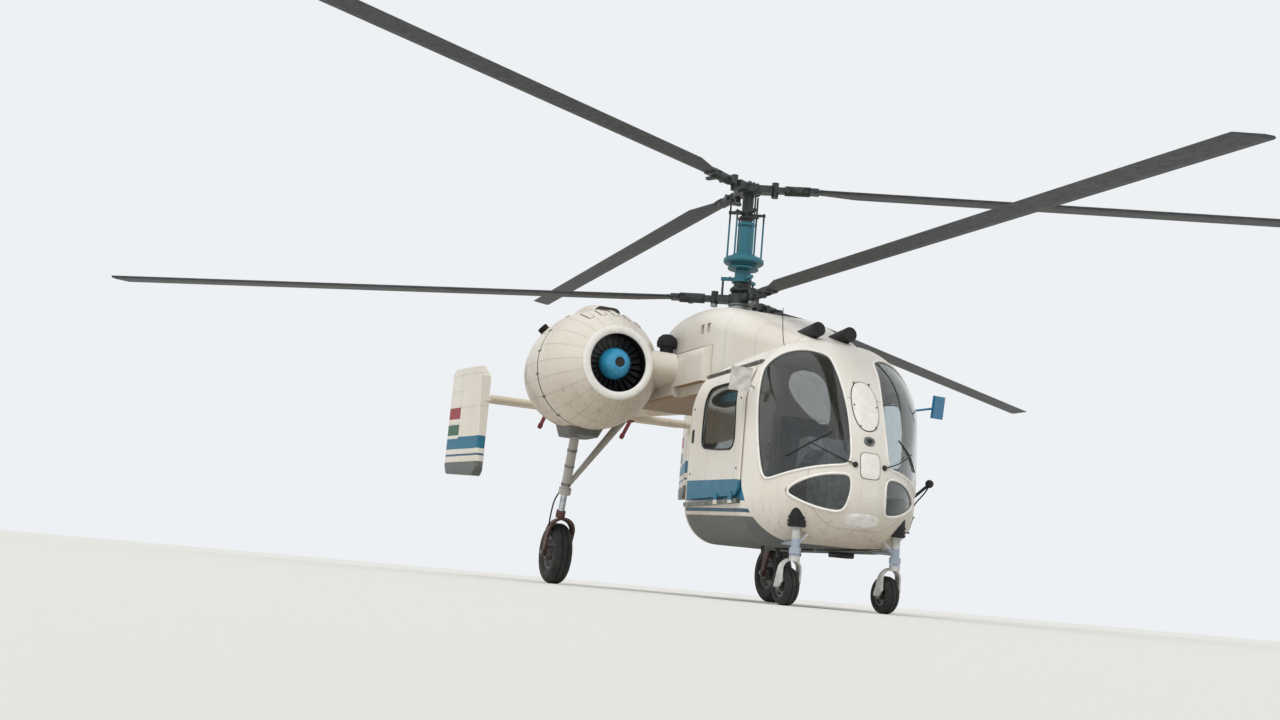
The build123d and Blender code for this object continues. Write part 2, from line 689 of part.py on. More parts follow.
with BuildPart() as nacelle_right:
    mirror(nacelle_left.part, about=Plane.YZ)
nacelle_right.part.label = "nacelle_right"

# Each engine is one plain block behind the fan
with BuildPart() as engines:
    with BuildSketch(Plane.YZ):
        with BuildLine():
            Polyline((120, FAN_R * 0.17 + RUN_GAP), (120, 110), (ENGINE_FRONT, 200), (ENGINE_FRONT + 60, ENGINE_R),
                     (ENGINE_FRONT + 420, ENGINE_R), (ENGINE_FRONT + 480, 300), (ENGINE_REAR + 60, 300),
                     (ENGINE_REAR + 60, 0), (260, 0), (260, FAN_R * 0.17 + RUN_GAP), close=True)
        make_face()
    revolve(axis=Axis.Y)
engines_one = engines.part.moved(Location((NAC_X, 0, NAC_Z)))
with BuildPart() as engines:
    add(engines_one)
    mirror(engines_one, about=Plane.YZ)
engines.part.label = "engines"

# Cooling fans with their spinners
with BuildPart() as fan_blade:
    with BuildSketch(Plane.XY.offset(SPINNER_R - 8)):
        with Locations(Location((0, FAN_Y + 18, 0), (0, 0, 42))):
            Rectangle(46, 6)
    with BuildSketch(Plane.XY.offset(FAN_R)):
        with Locations(Location((0, FAN_Y + 18, 0), (0, 0, 24))):
            Rectangle(58, 5)
    loft()

with BuildPart() as fan_ring:
    with BuildSketch(Plane.YZ):
        with Locations((FAN_Y + 17.5, (SPINNER_R + FAN_R * 0.17) / 2)):
            Rectangle(85, SPINNER_R - FAN_R * 0.17)
    revolve(axis=Axis.Y)
    for k in range(FAN_BLADES):
        add(fan_blade.part.rotate(Axis.Y, 360 * k / FAN_BLADES))

with BuildPart() as spinner:
    with BuildSketch(Plane.YZ):
        with BuildLine():
            Polyline((FAN_Y - 160, 34), (FAN_Y - 150, 40))
            ThreePointArc((FAN_Y - 150, 40), (FAN_Y - 105, 92), (FAN_Y - 25, SPINNER_R))
            Polyline((FAN_Y - 25, SPINNER_R), (FAN_Y - 25, FAN_R * 0.17), (230, FAN_R * 0.17), (230, 0),
                     (FAN_Y - 110, 0), (FAN_Y - 110, 34), (FAN_Y - 160, 34))
        make_face()
    revolve(axis=Axis.Y)

# The ring of blades and the spinner stay two solids of one rotating piece
fan_place = Location((NAC_X, 0, NAC_Z))
fan_solids = [fan_ring.part.solid().moved(fan_place), spinner.part.solid().moved(fan_place)]
fan_left = Compound(fan_solids, label="fan_left")
fan_right = Compound([solid.mirror(Plane.YZ) for solid in fan_solids], label="fan_right")

# Stub wings that carry the nacelles
STUB_Z = NAC_Z + 45
with BuildPart() as stub_wings:
    with BuildSketch(Plane.YZ.offset(CENTRE_HALF)):
        with BuildLine():
            ThreePointArc((40, STUB_Z + 140), (-125, STUB_Z), (40, STUB_Z - 140))
            Polyline((40, STUB_Z - 140), (900, STUB_Z - 170), (1060, STUB_Z - 10), (900, STUB_Z + 150),
                     (40, STUB_Z + 140))
        make_face()
    extrude(amount=NAC_X - CENTRE_HALF)
    add(nacelle_seat, mode=Mode.SUBTRACT)
    mirror(about=Plane.YZ)
stub_wings.part.label = "stub_wings"

# Air scoops on top of the cowls
with BuildPart() as cowl_scoops:
    with BuildSketch(Plane.XZ.offset(-260)) as front:
        with Locations((NAC_X, NAC_Z + NAC_R - 67)):
            RectangleRounded(250, 150, 60)
    with BuildSketch(Plane.XZ.offset(-620)) as middle:
        with Locations((NAC_X, NAC_Z + NAC_R - 62)):
            RectangleRounded(330, 250, 100)
    with BuildSketch(Plane.XZ.offset(-1150)) as back:
        with Locations((NAC_X, NAC_Z + NAC_R - 92)):
            RectangleRounded(220, 140, 60)
    loft()
    add(nacelle_seat, mode=Mode.SUBTRACT)
    with Locations((NAC_X, 250, NAC_Z + NAC_R - 32)):
        Box(190, 120, 46, mode=Mode.SUBTRACT)
    mirror(about=Plane.YZ)
cowl_scoops.part.label = "cowl_scoops"

# Fairings under the cowls that house the leg tops
BEARD_LOW = NAC_Z - NAC_R - 53
with BuildPart() as cowl_beards:
    with BuildSketch(Plane.XY.offset(BEARD_LOW + 355)):
        with Locations((NAC_X, 680)):
            RectangleRounded(520, 900, 160)
    with BuildSketch(Plane.XY.offset(BEARD_LOW)):
        with Locations((NAC_X, 800)):
            RectangleRounded(300, 470, 100)
    loft()
    add(nacelle_seat, mode=Mode.SUBTRACT)
    mirror(about=Plane.YZ)
cowl_beards.part.label = "cowl_beards"

# Exhaust stubs
with BuildPart() as exhaust_pipes:
    with BuildSketch(Plane(origin=(NAC_X + 310, 860, NAC_Z + 280), z_dir=(0.75, 0.25, 0.75))):
        Circle(52)
        Circle(44, mode=Mode.SUBTRACT)
    extrude(amount=190)
    with BuildSketch(Plane(origin=(NAC_X + 310, 860, NAC_Z + 280), z_dir=(0.75, 0.25, 0.75))):
        Circle(70)
        Circle(44, mode=Mode.SUBTRACT)
    extrude(amount=100)
    add(nacelle_seat, mode=Mode.SUBTRACT)
    mirror(about=Plane.YZ)
exhaust_pipes.part.label = "exhaust_pipes"

# Tail booms from the stub wing line to their end caps
BOOM_START_Y = 700
boom_dir = Vector(0, BOOM_END_Y - CENTRE_REAR, BOOM_END_Z - BOOM_FRONT_Z).normalized()
boom_end = Plane(origin=(BOOM_X, BOOM_END_Y, BOOM_END_Z), x_dir=(1, 0, 0), z_dir=boom_dir)
boom_front = Plane(origin=(BOOM_X, CENTRE_REAR, BOOM_FRONT_Z), x_dir=(1, 0, 0), z_dir=boom_dir)
CAP_LONG = 95
with BuildPart() as tail_booms:
    with BuildSketch(boom_front):
        Circle(BOOM_R_FRONT)
    with BuildSketch(boom_end):
        Circle(BOOM_R_END)
    loft()
    with BuildSketch(boom_front):
        Circle(BOOM_R_FRONT + 10)
    extrude(amount=60)
    with Locations((BOOM_X, CENTRE_REAR - 250, BOOM_FRONT_Z)):
        Box(1200, 500, 900, mode=Mode.SUBTRACT)
    mirror(about=Plane.YZ)
tail_booms.part.label = "tail_booms"

with BuildPart() as boom_caps:
    with BuildSketch(boom_end):
        Circle(BOOM_R_END)
    with BuildSketch(boom_end.offset(CAP_LONG)):
        Circle(BOOM_R_END - 22)
    loft()
    fillet(boom_caps.edges().group_by(Axis.Y)[-1], 20)
    mirror(about=Plane.YZ)
boom_caps.part.label = "boom_caps"

# Tailplane between the booms and the fins
def wing_profile(x, lead_y, mid_z, chord, thick, tail_thick):
    with BuildSketch(Plane.YZ.offset(x)) as profile:
        with BuildLine():
            ThreePointArc((lead_y + chord * 0.2, mid_z + thick / 2), (lead_y, mid_z),
                          (lead_y + chord * 0.2, mid_z - thick / 2))
            Polyline((lead_y + chord * 0.2, mid_z - thick / 2), (lead_y + chord, mid_z - tail_thick / 2),
                     (lead_y + chord, mid_z + tail_thick / 2), (lead_y + chord * 0.2, mid_z + thick / 2))
        make_face()
    return profile.sketch.faces()[0]


HINGE_GAP = 8
with BuildPart() as tailplane:
    add(extrude(wing_profile(-TAILPLANE_HALF, TAILPLANE_Y, TAILPLANE_Z, TAILPLANE_CHORD, 62, 50), 2 * TAILPLANE_HALF,
                dir=(1, 0, 0), mode=Mode.PRIVATE))
    add(tail_booms.part, mode=Mode.SUBTRACT)
    add(boom_caps.part, mode=Mode.SUBTRACT)
tailplane.part.label = "tailplane"

# Tail bumpers under the caps
with BuildPart() as tail_bumpers:
    bumper = Plane(origin=(BOOM_X, TAILPLANE_Y + 120, TAILPLANE_Z - 10), z_dir=(0, 0.82, -0.57))
    with BuildSketch(bumper):
        Circle(24)
    extrude(amount=330)
    with BuildSketch(bumper.offset(330)):
        Circle(30)
    extrude(amount=50)
    with Locations((BOOM_X, TAILPLANE_Y + 170, TAILPLANE_Z - 40)):
        Box(70, 130, 30)
    add(tailplane.part, mode=Mode.SUBTRACT)
    add(tail_booms.part, mode=Mode.SUBTRACT)
    mirror(about=Plane.YZ)
tail_bumpers.part.label = "tail_bumpers"


elevator_lead = TAILPLANE_Y + TAILPLANE_CHORD + HINGE_GAP
with BuildPart() as elevator:
    add(extrude(wing_profile(-TAILPLANE_HALF + 40, elevator_lead, TAILPLANE_Z, ELEVATOR_CHORD, 46, 8),
                2 * TAILPLANE_HALF - 80, dir=(1, 0, 0), mode=Mode.PRIVATE))
    with Locations(*[(x, elevator_lead, TAILPLANE_Z) for x in (-1100, -300, 300, 1100)]):
        Box(24, 2 * HINGE_GAP + 20, 20)
    with Locations((0, TAILPLANE_Y + TAILPLANE_CHORD / 2, TAILPLANE_Z)):
        Box(3000, TAILPLANE_CHORD, 200, mode=Mode.SUBTRACT)
elevator.part.label = "elevator"

# Fins and rudders, toed in toward the nose
fin_plane = Plane(origin=(FIN_X, FIN_LEAD_Y, FIN_LOW), x_dir=(math.sin(math.radians(FIN_TOE_IN)),
                  math.cos(math.radians(FIN_TOE_IN)), 0), z_dir=(0, 0, 1))
FIN_TAPER = 60


def fin_block(start, chord, thick, tail_thick, grow_top):
    with BuildPart() as block:
        with BuildSketch(fin_plane):
            with BuildLine():
                if start == 0:
                    ThreePointArc((chord * 0.2, thick / 2), (0, 0), (chord * 0.2, -thick / 2))
                    Polyline((chord * 0.2, -thick / 2), (chord, -tail_thick / 2), (chord, tail_thick / 2),
                             (chord * 0.2, thick / 2))
                else:
                    Polyline((start, thick / 2), (start, -thick / 2), (start + chord, -tail_thick / 2),
                             (start + chord, tail_thick / 2), close=True)
            make_face()
        extrude(amount=FIN_HIGH - FIN_LOW)
        side = Plane(origin=fin_plane.origin, x_dir=fin_plane.x_dir, z_dir=fin_plane.y_dir * -1)
        with BuildSketch(side):
            with BuildLine():
                Polyline((0, 120), (90, 0), (FIN_CHORD + RUDDER_CHORD - 60, 30), (FIN_CHORD + RUDDER_CHORD + 20, 160),
                         (FIN_CHORD + RUDDER_CHORD + 20, FIN_HIGH - FIN_LOW - 60),
                         (FIN_CHORD + RUDDER_CHORD - 80, FIN_HIGH - FIN_LOW), (150, FIN_HIGH - FIN_LOW),
                         (FIN_TAPER, FIN_HIGH - FIN_LOW - 120), close=True)
            make_face()
        extrude(amount=100, both=True, mode=Mode.INTERSECT)
    return block.part


with BuildPart() as fins:
    add(fin_block(0, FIN_CHORD, 66, 46, 0))
    with Locations((FIN_X - 15, TAILPLANE_Y + 190, TAILPLANE_Z)):
        Box(90, 220, 56)
    add(tailplane.part, mode=Mode.SUBTRACT)
    mirror(about=Plane.YZ)
fins.part.label = "fins"

with BuildPart() as rudders:
    add(fin_block(FIN_CHORD + HINGE_GAP, RUDDER_CHORD - HINGE_GAP, 42, 8, 0))
    for z in (200, 640, 1120):
        with Locations(fin_plane.location):
            with Locations((FIN_CHORD + HINGE_GAP, 0, z)):
                Box(2 * HINGE_GAP, 20, 30)
    mirror(about=Plane.YZ)
rudders.part.label = "rudders"

with BuildPart() as beacon:
    with Locations((BOOM_X, 3880, BOOM_END_Z + BOOM_R_END - 16 + 30)):
        Cylinder(45, 110)
    with Locations((BOOM_X, 3880, BOOM_END_Z + BOOM_R_END + 90)):
        Cylinder(38, 50)
    fillet(beacon.edges().group_by(Axis.Z)[-1], 22)
    add(tail_booms.part, mode=Mode.SUBTRACT)
beacon.part.label = "beacon"


# Landing gear
def rod(a, b, r):
    start = Vector(*a)
    run = Vector(*b) - start
    return Solid.make_cylinder(r, run.length, Plane(origin=start, z_dir=run))


LEG_TOP = (MAIN_X + 40, MAIN_AXLE_Y - 400, NAC_Z - NAC_R + 22)
LEG_COLLAR = (MAIN_X + 35, MAIN_AXLE_Y - 225, 935)
MAIN_AXLE = (MAIN_X, MAIN_AXLE_Y, MAIN_TYRE_R)
leg_dir = (Vector(*LEG_COLLAR) - Vector(*LEG_TOP)).normalized()
crown = Vector(*LEG_COLLAR) + leg_dir * 300

with BuildPart() as main_legs:
    add(rod(LEG_TOP, LEG_COLLAR, 46))
    collar_end = Vector(*LEG_COLLAR) + leg_dir * 60
    add(rod(LEG_COLLAR, (collar_end.X, collar_end.Y, collar_end.Z), 62))
    add(cowl_beards.part, mode=Mode.SUBTRACT)
    add(nacelle_seat, mode=Mode.SUBTRACT)
    mirror(about=Plane.YZ)
main_legs.part.label = "main_legs"

BRACE_TOPS = [(CENTRE_HALF - 30, y, CENTRE_LOW) for y in LAND_Y]
with BuildPart() as main_braces:
    for top in BRACE_TOPS:
        add(rod(LEG_COLLAR, top, 24))
        with Locations(top):
            Box(60, 60, 60)
    add(main_legs.part, mode=Mode.SUBTRACT)
    with Locations((0, 0, CENTRE_LOW + LAND_RISE + 500)):
        Box(6000, 6000, 1000, mode=Mode.SUBTRACT)
    mirror(about=Plane.YZ)
main_braces.part.label = "main_braces"

ARM_IN = MAIN_TYRE_W / 2 + 20
ARM_THICK = 24
PISTON_R = 33
MAIN_AXLE_R = 22
with BuildPart() as main_pistons:
    add(rod((collar_end.X, collar_end.Y, collar_end.Z), (crown.X, crown.Y, crown.Z), PISTON_R))
    mirror(about=Plane.YZ)
main_pistons.part.label = "main_pistons"

FORK_HALF = ARM_IN + ARM_THICK
FORK_SPRING = crown.Z - FORK_HALF
FORK_FOOT = MAIN_TYRE_R - 60
with BuildPart() as main_forks:
    with BuildSketch(Plane.XZ.offset(-MAIN_AXLE_Y - 120)):
        with BuildLine():
            Polyline((MAIN_X - FORK_HALF, FORK_FOOT), (MAIN_X - FORK_HALF, FORK_SPRING))
            ThreePointArc((MAIN_X - FORK_HALF, FORK_SPRING), (MAIN_X, crown.Z), (MAIN_X + FORK_HALF, FORK_SPRING))
            Polyline((MAIN_X + FORK_HALF, FORK_SPRING), (MAIN_X + FORK_HALF, FORK_FOOT), (MAIN_X + ARM_IN, FORK_FOOT),
                     (MAIN_X + ARM_IN, FORK_SPRING))
            ThreePointArc((MAIN_X + ARM_IN, FORK_SPRING), (MAIN_X, FORK_SPRING + ARM_IN), (MAIN_X - ARM_IN, FORK_SPRING))
            Polyline((MAIN_X - ARM_IN, FORK_SPRING), (MAIN_X - ARM_IN, FORK_FOOT), (MAIN_X - FORK_HALF, FORK_FOOT))
        make_face()
    extrude(amount=400)
    with BuildSketch(Plane.YZ.offset(MAIN_X)):
        with BuildLine():
            Polyline((crown.Y - 62, crown.Z + 10), (crown.Y + 62, crown.Z + 10), (MAIN_AXLE_Y + 38, MAIN_TYRE_R),
                     (MAIN_AXLE_Y - 38, MAIN_TYRE_R), close=True)
        make_face()
        with Locations((MAIN_AXLE_Y, MAIN_TYRE_R)):
            Circle(40)
    extrude(amount=250, both=True, mode=Mode.INTERSECT)
    add(rod((crown.X - 70 * leg_dir.X, crown.Y - 70 * leg_dir.Y, crown.Z - 70 * leg_dir.Z),
            (crown.X, crown.Y, crown.Z), PISTON_R + 13))
    with Locations(Location(MAIN_AXLE, (0, 90, 0))):
        Cylinder(MAIN_AXLE_R, 2 * FORK_HALF + 16)
    add(main_pistons.part, mode=Mode.SUBTRACT)
    mirror(about=Plane.YZ)
main_forks.part.label = "main_forks"


def tyre_solid(radius, width, rim_r):
    # A round-shouldered tyre with shallow circumferential grooves, about the X axis.
    half = width / 2
    bead = rim_r + 0.25 * (radius - rim_r)
    shoulder = radius - half * 0.55
    with BuildPart() as tyre:
        with BuildSketch(Plane.XZ):
            with BuildLine():
                Polyline((-half * 0.72, rim_r), (-half, bead), (-half, shoulder))
                ThreePointArc((-half, shoulder), (-half * 0.68, radius - half * 0.13), (0, radius))
                ThreePointArc((0, radius), (half * 0.68, radius - half * 0.13), (half, shoulder))
                Polyline((half, shoulder), (half, bead), (half * 0.72, rim_r), (-half * 0.72, rim_r))
            make_face()
            with Locations((-half * 0.3, radius), (half * 0.3, radius)):
                Rectangle(7, 16, mode=Mode.SUBTRACT)
        revolve(axis=Axis.X)
    return tyre.part


def wheel_solid(rim_r, width, bore_r, hub_half):
    half = width * 0.36
    hub_r = rim_r * 0.39
    with BuildPart() as rim:
        with BuildSketch(Plane.XZ):
            with BuildLine():
                Polyline((-half, rim_r), (-half, rim_r * 0.88), (-half * 0.5, rim_r * 0.75), (-half * 0.35, hub_r + 6),
                         (-hub_half, hub_r), (-hub_half, bore_r), (hub_half, bore_r), (hub_half, hub_r),
                         (half * 0.35, hub_r + 6), (half * 0.5, rim_r * 0.75), (half, rim_r * 0.88), (half, rim_r),
                         close=True)
            make_face()
        revolve(axis=Axis.X)
    return rim.part


MAIN_RIM_R = 160
NOSE_RIM_R = 85
main_place = Location((MAIN_X, MAIN_AXLE_Y, MAIN_TYRE_R))
with BuildPart() as main_tyre_left:
    add(tyre_solid(MAIN_TYRE_R, MAIN_TYRE_W, MAIN_RIM_R).moved(main_place))
main_tyre_left.part.label = "main_tyre_left"
with BuildPart() as main_wheel_left:
    add(wheel_solid(MAIN_RIM_R, MAIN_TYRE_W, MAIN_AXLE_R + RUN_GAP, ARM_IN - 6).moved(main_place))
main_wheel_left.part.label = "main_wheel_left"
with BuildPart() as main_tyre_right:
    mirror(main_tyre_left.part, about=Plane.YZ)
main_tyre_right.part.label = "main_tyre_right"
with BuildPart() as main_wheel_right:
    mirror(main_wheel_left.part, about=Plane.YZ)
main_wheel_right.part.label = "main_wheel_right"

# Nose legs, braces and rubber boots
NOSE_LEG_LOW = 400
NOSE_LEG_R = 34
PIVOT_R = 20
with BuildPart() as nose_legs:
    with Locations((NOSE_X, NOSE_PIVOT_Y, (NOSE_LEG_LOW + 760) / 2)):
        Cylinder(NOSE_LEG_R, 760 - NOSE_LEG_LOW)
    with Locations((NOSE_X, NOSE_PIVOT_Y, NOSE_LEG_LOW + 25)):
        Cylinder(46, 50)
    with Locations((NOSE_X, NOSE_PIVOT_Y, NOSE_LEG_LOW + 30)):
        Cylinder(PIVOT_R + RUN_GAP, 64, mode=Mode.SUBTRACT)
    add(rod((NOSE_X, NOSE_PIVOT_Y + 30, NOSE_LEG_LOW + 80), (400, -1880, 500), 17))
    add(rod((NOSE_X - 20, NOSE_PIVOT_Y, NOSE_LEG_LOW + 80), (300, -2290, 620), 15))
    add(cabin_outer, mode=Mode.SUBTRACT)
    mirror(about=Plane.YZ)
nose_legs.part.label = "nose_legs"

with BuildPart() as nose_boots:
    with Locations((NOSE_X, NOSE_PIVOT_Y, 690)):
        Cylinder(66, 160)
    with Locations(*[(NOSE_X, NOSE_PIVOT_Y, z) for z in (625, 655, 685)]):
        Cylinder(74, 14)
    with Locations((NOSE_X, NOSE_PIVOT_Y, 690)):
        Cylinder(NOSE_LEG_R + SEAT_GAP, 300, mode=Mode.SUBTRACT)
    add(cabin_seat, mode=Mode.SUBTRACT)
    mirror(about=Plane.YZ)
nose_boots.part.label = "nose_boots"

NOSE_ARM_IN = NOSE_TYRE_W / 2 + 10
NOSE_AXLE_R = 14
with BuildPart() as nose_fork_left:
    with BuildSketch(Plane.XZ.offset(-NOSE_PIVOT_Y - 35)) as arch:
        with BuildLine():
            half = NOSE_ARM_IN + 16
            Polyline((NOSE_X - half, NOSE_TYRE_R - 10), (NOSE_X - half, 280))
            ThreePointArc((NOSE_X - half, 280), (NOSE_X, 280 + half), (NOSE_X + half, 280))
            Polyline((NOSE_X + half, 280), (NOSE_X + half, NOSE_TYRE_R - 10), (NOSE_X + half - 16, NOSE_TYRE_R - 10),
                     (NOSE_X + half - 16, 280))
            ThreePointArc((NOSE_X + half - 16, 280), (NOSE_X, 280 + half - 20), (NOSE_X - half + 16, 280))
            Polyline((NOSE_X - half + 16, 280), (NOSE_X - half + 16, NOSE_TYRE_R - 10), (NOSE_X - half, NOSE_TYRE_R - 10))
        make_face()
    extrude(amount=-(NOSE_AXLE_Y - NOSE_PIVOT_Y + 75))
    with BuildSketch(Plane.YZ.offset(NOSE_X)):
        with BuildLine():
            Polyline((NOSE_PIVOT_Y - 42, 400), (NOSE_PIVOT_Y + 60, 400), (NOSE_AXLE_Y + 32, 150), (NOSE_AXLE_Y - 30, 118),
                     (NOSE_PIVOT_Y - 42, 270), close=True)
        make_face()
        with Locations((NOSE_AXLE_Y, NOSE_TYRE_R)):
            Circle(32)
    extrude(amount=120, both=True, mode=Mode.INTERSECT)
    with Locations((NOSE_X, NOSE_PIVOT_Y, 370)):
        Cylinder(42, 52)
    with Locations((NOSE_X, NOSE_PIVOT_Y, 420)):
        Cylinder(PIVOT_R, 80)
    with Locations(Location((NOSE_X, NOSE_AXLE_Y, NOSE_TYRE_R), (0, 90, 0))):
        Cylinder(NOSE_AXLE_R, 2 * (NOSE_ARM_IN + 16) + 12)
nose_fork_left.part.label = "nose_fork_left"
with BuildPart() as nose_fork_right:
    mirror(nose_fork_left.part, about=Plane.YZ)
nose_fork_right.part.label = "nose_fork_right"

nose_place = Location((NOSE_X, NOSE_AXLE_Y, NOSE_TYRE_R))
with BuildPart() as nose_tyre_left:
    add(tyre_solid(NOSE_TYRE_R, NOSE_TYRE_W, NOSE_RIM_R).moved(nose_place))
nose_tyre_left.part.label = "nose_tyre_left"
with BuildPart() as nose_wheel_left:
    add(wheel_solid(NOSE_RIM_R, NOSE_TYRE_W, NOSE_AXLE_R + RUN_GAP, NOSE_ARM_IN - 5).moved(nose_place))
nose_wheel_left.part.label = "nose_wheel_left"
with BuildPart() as nose_tyre_right:
    mirror(nose_tyre_left.part, about=Plane.YZ)
nose_tyre_right.part.label = "nose_tyre_right"
with BuildPart() as nose_wheel_right:
    mirror(nose_wheel_left.part, about=Plane.YZ)
nose_wheel_right.part.label = "nose_wheel_right"

# Mirrors and probe
with BuildPart() as mirrors:
    add(rod((745, -1990, 1700), (905, -2080, 1735), 9))
    with Locations(Location((920, -2090, 1740), (8, 0, 28))):
        Box(170, 22, 190)
    add(cabin_seat, mode=Mode.SUBTRACT)
    mirror(about=Plane.YZ)
mirrors.part.label = "mirrors"

with BuildPart() as air_probe:
    add(rod((640, -2170, 925), (752, -2262, 1062), 12))
    with Locations((760, -2270, 1075)):
        Sphere(34)
    add(cabin_seat, mode=Mode.SUBTRACT)
air_probe.part.label = "air_probe"

NODES = [
    cabin_nose, cabin_belly, cabin_roof, cabin_posts, cabin_bulkhead, cabin_floor, windscreens,
    door_left, door_glass_left, door_right, door_glass_right, door_rails, seat_frames, seat_cushions,
    instrument_console, flight_controls, centre_section, gearbox_fairing, roof_intakes, mast_collar,
    lower_blades, upper_blades, lower_hub, upper_hub, nacelle_left, nacelle_right, engines, fan_left, fan_right,
    stub_wings, cowl_scoops, cowl_beards, exhaust_pipes, tail_booms, boom_caps,
    tail_bumpers, tailplane, elevator,
    fins, rudders, beacon, main_legs, main_braces, main_pistons, main_forks, main_tyre_left, main_wheel_left,
    main_tyre_right, main_wheel_right, nose_legs, nose_boots, nose_fork_left, nose_fork_right,
    nose_tyre_left, nose_wheel_left, nose_tyre_right, nose_wheel_right, mirrors, air_probe,
]
for node in NODES:
    shape = node if isinstance(node, Compound) else node.part
    export_step(shape, "parts/" + shape.label + ".step")
print(len(NODES))
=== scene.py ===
import math

import bmesh
import bpy
from mathutils import Matrix, Vector
from mathutils.bvhtree import BVHTree


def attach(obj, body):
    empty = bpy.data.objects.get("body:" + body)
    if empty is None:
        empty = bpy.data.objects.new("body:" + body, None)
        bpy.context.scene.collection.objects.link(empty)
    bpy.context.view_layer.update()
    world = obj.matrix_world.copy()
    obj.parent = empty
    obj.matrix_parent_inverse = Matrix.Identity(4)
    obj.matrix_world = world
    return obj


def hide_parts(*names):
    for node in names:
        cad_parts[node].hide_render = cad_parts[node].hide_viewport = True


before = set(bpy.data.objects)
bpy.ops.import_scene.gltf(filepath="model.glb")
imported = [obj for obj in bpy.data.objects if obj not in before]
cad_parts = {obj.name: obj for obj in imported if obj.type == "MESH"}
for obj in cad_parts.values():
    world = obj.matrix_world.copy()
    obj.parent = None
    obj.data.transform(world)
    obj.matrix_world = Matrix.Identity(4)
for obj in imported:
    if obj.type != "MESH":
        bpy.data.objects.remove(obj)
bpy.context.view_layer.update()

# Places that the added pieces share with the solids, in metres
HANDS = (("left", 1), ("right", -1))
POD_X = 1.25
POD_Z = 2.05
MAIN_AXLE = (1.21, 1.28, 0.2975)
NOSE_AXLE = (0.45, -2.19, 0.15)
SEAT_X = 0.35


# Colours and materials

CREAM = "#E2DED6"
TEAL = "#1D6680"
NIGHT = "#36546A"
SOIL = ("#CDC4B4", "#5E4128")
SEAM_HALF = 0.0022
RIVET_ROW = 0.014
RIVET_EDGE = (0.0045, 0.0015)
THREAD_STEP = 0.0024


def linear(code):
    channels = []
    for start in (1, 3, 5):
        value = int(code[start:start + 2], 16) / 255
        channels.append(value / 12.92 if value <= 0.04045 else ((value + 0.055) / 1.055) ** 2.4)
    return (*channels, 1)


def add_node(tree, kind, inputs=None, out=None, stops=(), **settings):
    # Adds a node with its settings and links, and gives the asked output, or the node itself
    made = tree.nodes.new(kind)
    for key, value in settings.items():
        setattr(made, key, value)
    for key, value in (inputs or {}).items():
        socket = made.inputs[key]
        if isinstance(value, bpy.types.NodeSocket):
            tree.links.new(value, socket)
        elif isinstance(value, str):
            socket.default_value = linear(value)
        else:
            socket.default_value = value
    if stops:
        marks = made.color_ramp.elements
        while len(marks) < len(stops):
            marks.new(0.5)
        for mark, (position, code) in zip(marks, stops):
            mark.position = position
            mark.color = linear(code)
    return made if out is None else made.outputs[out]


def begin_material(name):
    material = bpy.data.materials.new(name)
    material.use_nodes = True
    tree = material.node_tree
    tree.nodes.clear()
    place = add_node(tree, "ShaderNodeTexCoord", out="Object")
    split = add_node(tree, "ShaderNodeSeparateXYZ", {0: place})
    return material, tree, dict(zip("xyz", split.outputs), place=place)


def close_material(tree, inputs):
    shader = add_node(tree, "ShaderNodeBsdfPrincipled", inputs)
    add_node(tree, "ShaderNodeOutputMaterial", {"Surface": shader.outputs[0]})


def round_measures(tree, parts):
    # Distance from a pod's axis and the way round it, in metres on a half-metre radius
    out = add_node(tree, "ShaderNodeMath", {0: parts["x"]}, 0, operation="ABSOLUTE")
    out = add_node(tree, "ShaderNodeMath", {0: out, 1: POD_X}, 0, operation="SUBTRACT")
    up = add_node(tree, "ShaderNodeMath", {0: parts["z"], 1: POD_Z}, 0, operation="SUBTRACT")
    flat = add_node(tree, "ShaderNodeCombineXYZ", {0: out, 1: up}, 0)
    radius = add_node(tree, "ShaderNodeVectorMath", {0: flat}, "Value", operation="LENGTH")
    angle = add_node(tree, "ShaderNodeMath", {0: up, 1: out}, 0, operation="ARCTAN2")
    return radius, add_node(tree, "ShaderNodeMath", {0: angle, 1: 0.5}, 0, operation="MULTIPLY")


def band(tree, value, low, high, soft=0.002):
    # 1 between two values and 0 outside them
    up = add_node(tree, "ShaderNodeMapRange", {0: value, 1: low - soft, 2: low + soft}, 0)
    down = add_node(tree, "ShaderNodeMapRange", {0: value, 1: high - soft, 2: high + soft}, 0)
    return add_node(tree, "ShaderNodeMath", {0: up, 1: down}, 0, operation="SUBTRACT")


def striped(tree, colour, value, stripes, mask=1.0):
    # Paints bands of colour over what is there
    for low, high, code in stripes:
        inside = band(tree, value, low, high)
        amount = add_node(tree, "ShaderNodeMath", {0: inside, 1: mask}, 0, operation="MULTIPLY")
        colour = add_node(tree, "ShaderNodeMix", {0: amount, 6: colour, 7: code}, 2, data_type="RGBA")
    return colour


def plate_lines(tree, across, along, pitch, spacing):
    # Lap seams at a pitch, and a rivet row to each side of them
    away = add_node(tree, "ShaderNodeMath", {0: across, 1: pitch / 2}, 0, operation="PINGPONG")
    seam = add_node(tree, "ShaderNodeMath", {0: away, 1: SEAM_HALF}, 0, operation="LESS_THAN")
    beside = add_node(tree, "ShaderNodeMath", {0: away, 1: RIVET_ROW}, 0, operation="SUBTRACT")
    step = add_node(tree, "ShaderNodeMath", {0: along, 1: spacing / 2}, 0, operation="PINGPONG")
    reach = add_node(tree, "ShaderNodeCombineXYZ", {0: beside, 1: step}, 0)
    reach = add_node(tree, "ShaderNodeVectorMath", {0: reach}, "Value", operation="LENGTH")
    rivet = add_node(tree, "ShaderNodeMapRange", {0: reach, 1: RIVET_EDGE[0], 2: RIVET_EDGE[1]}, 0)
    return seam, rivet


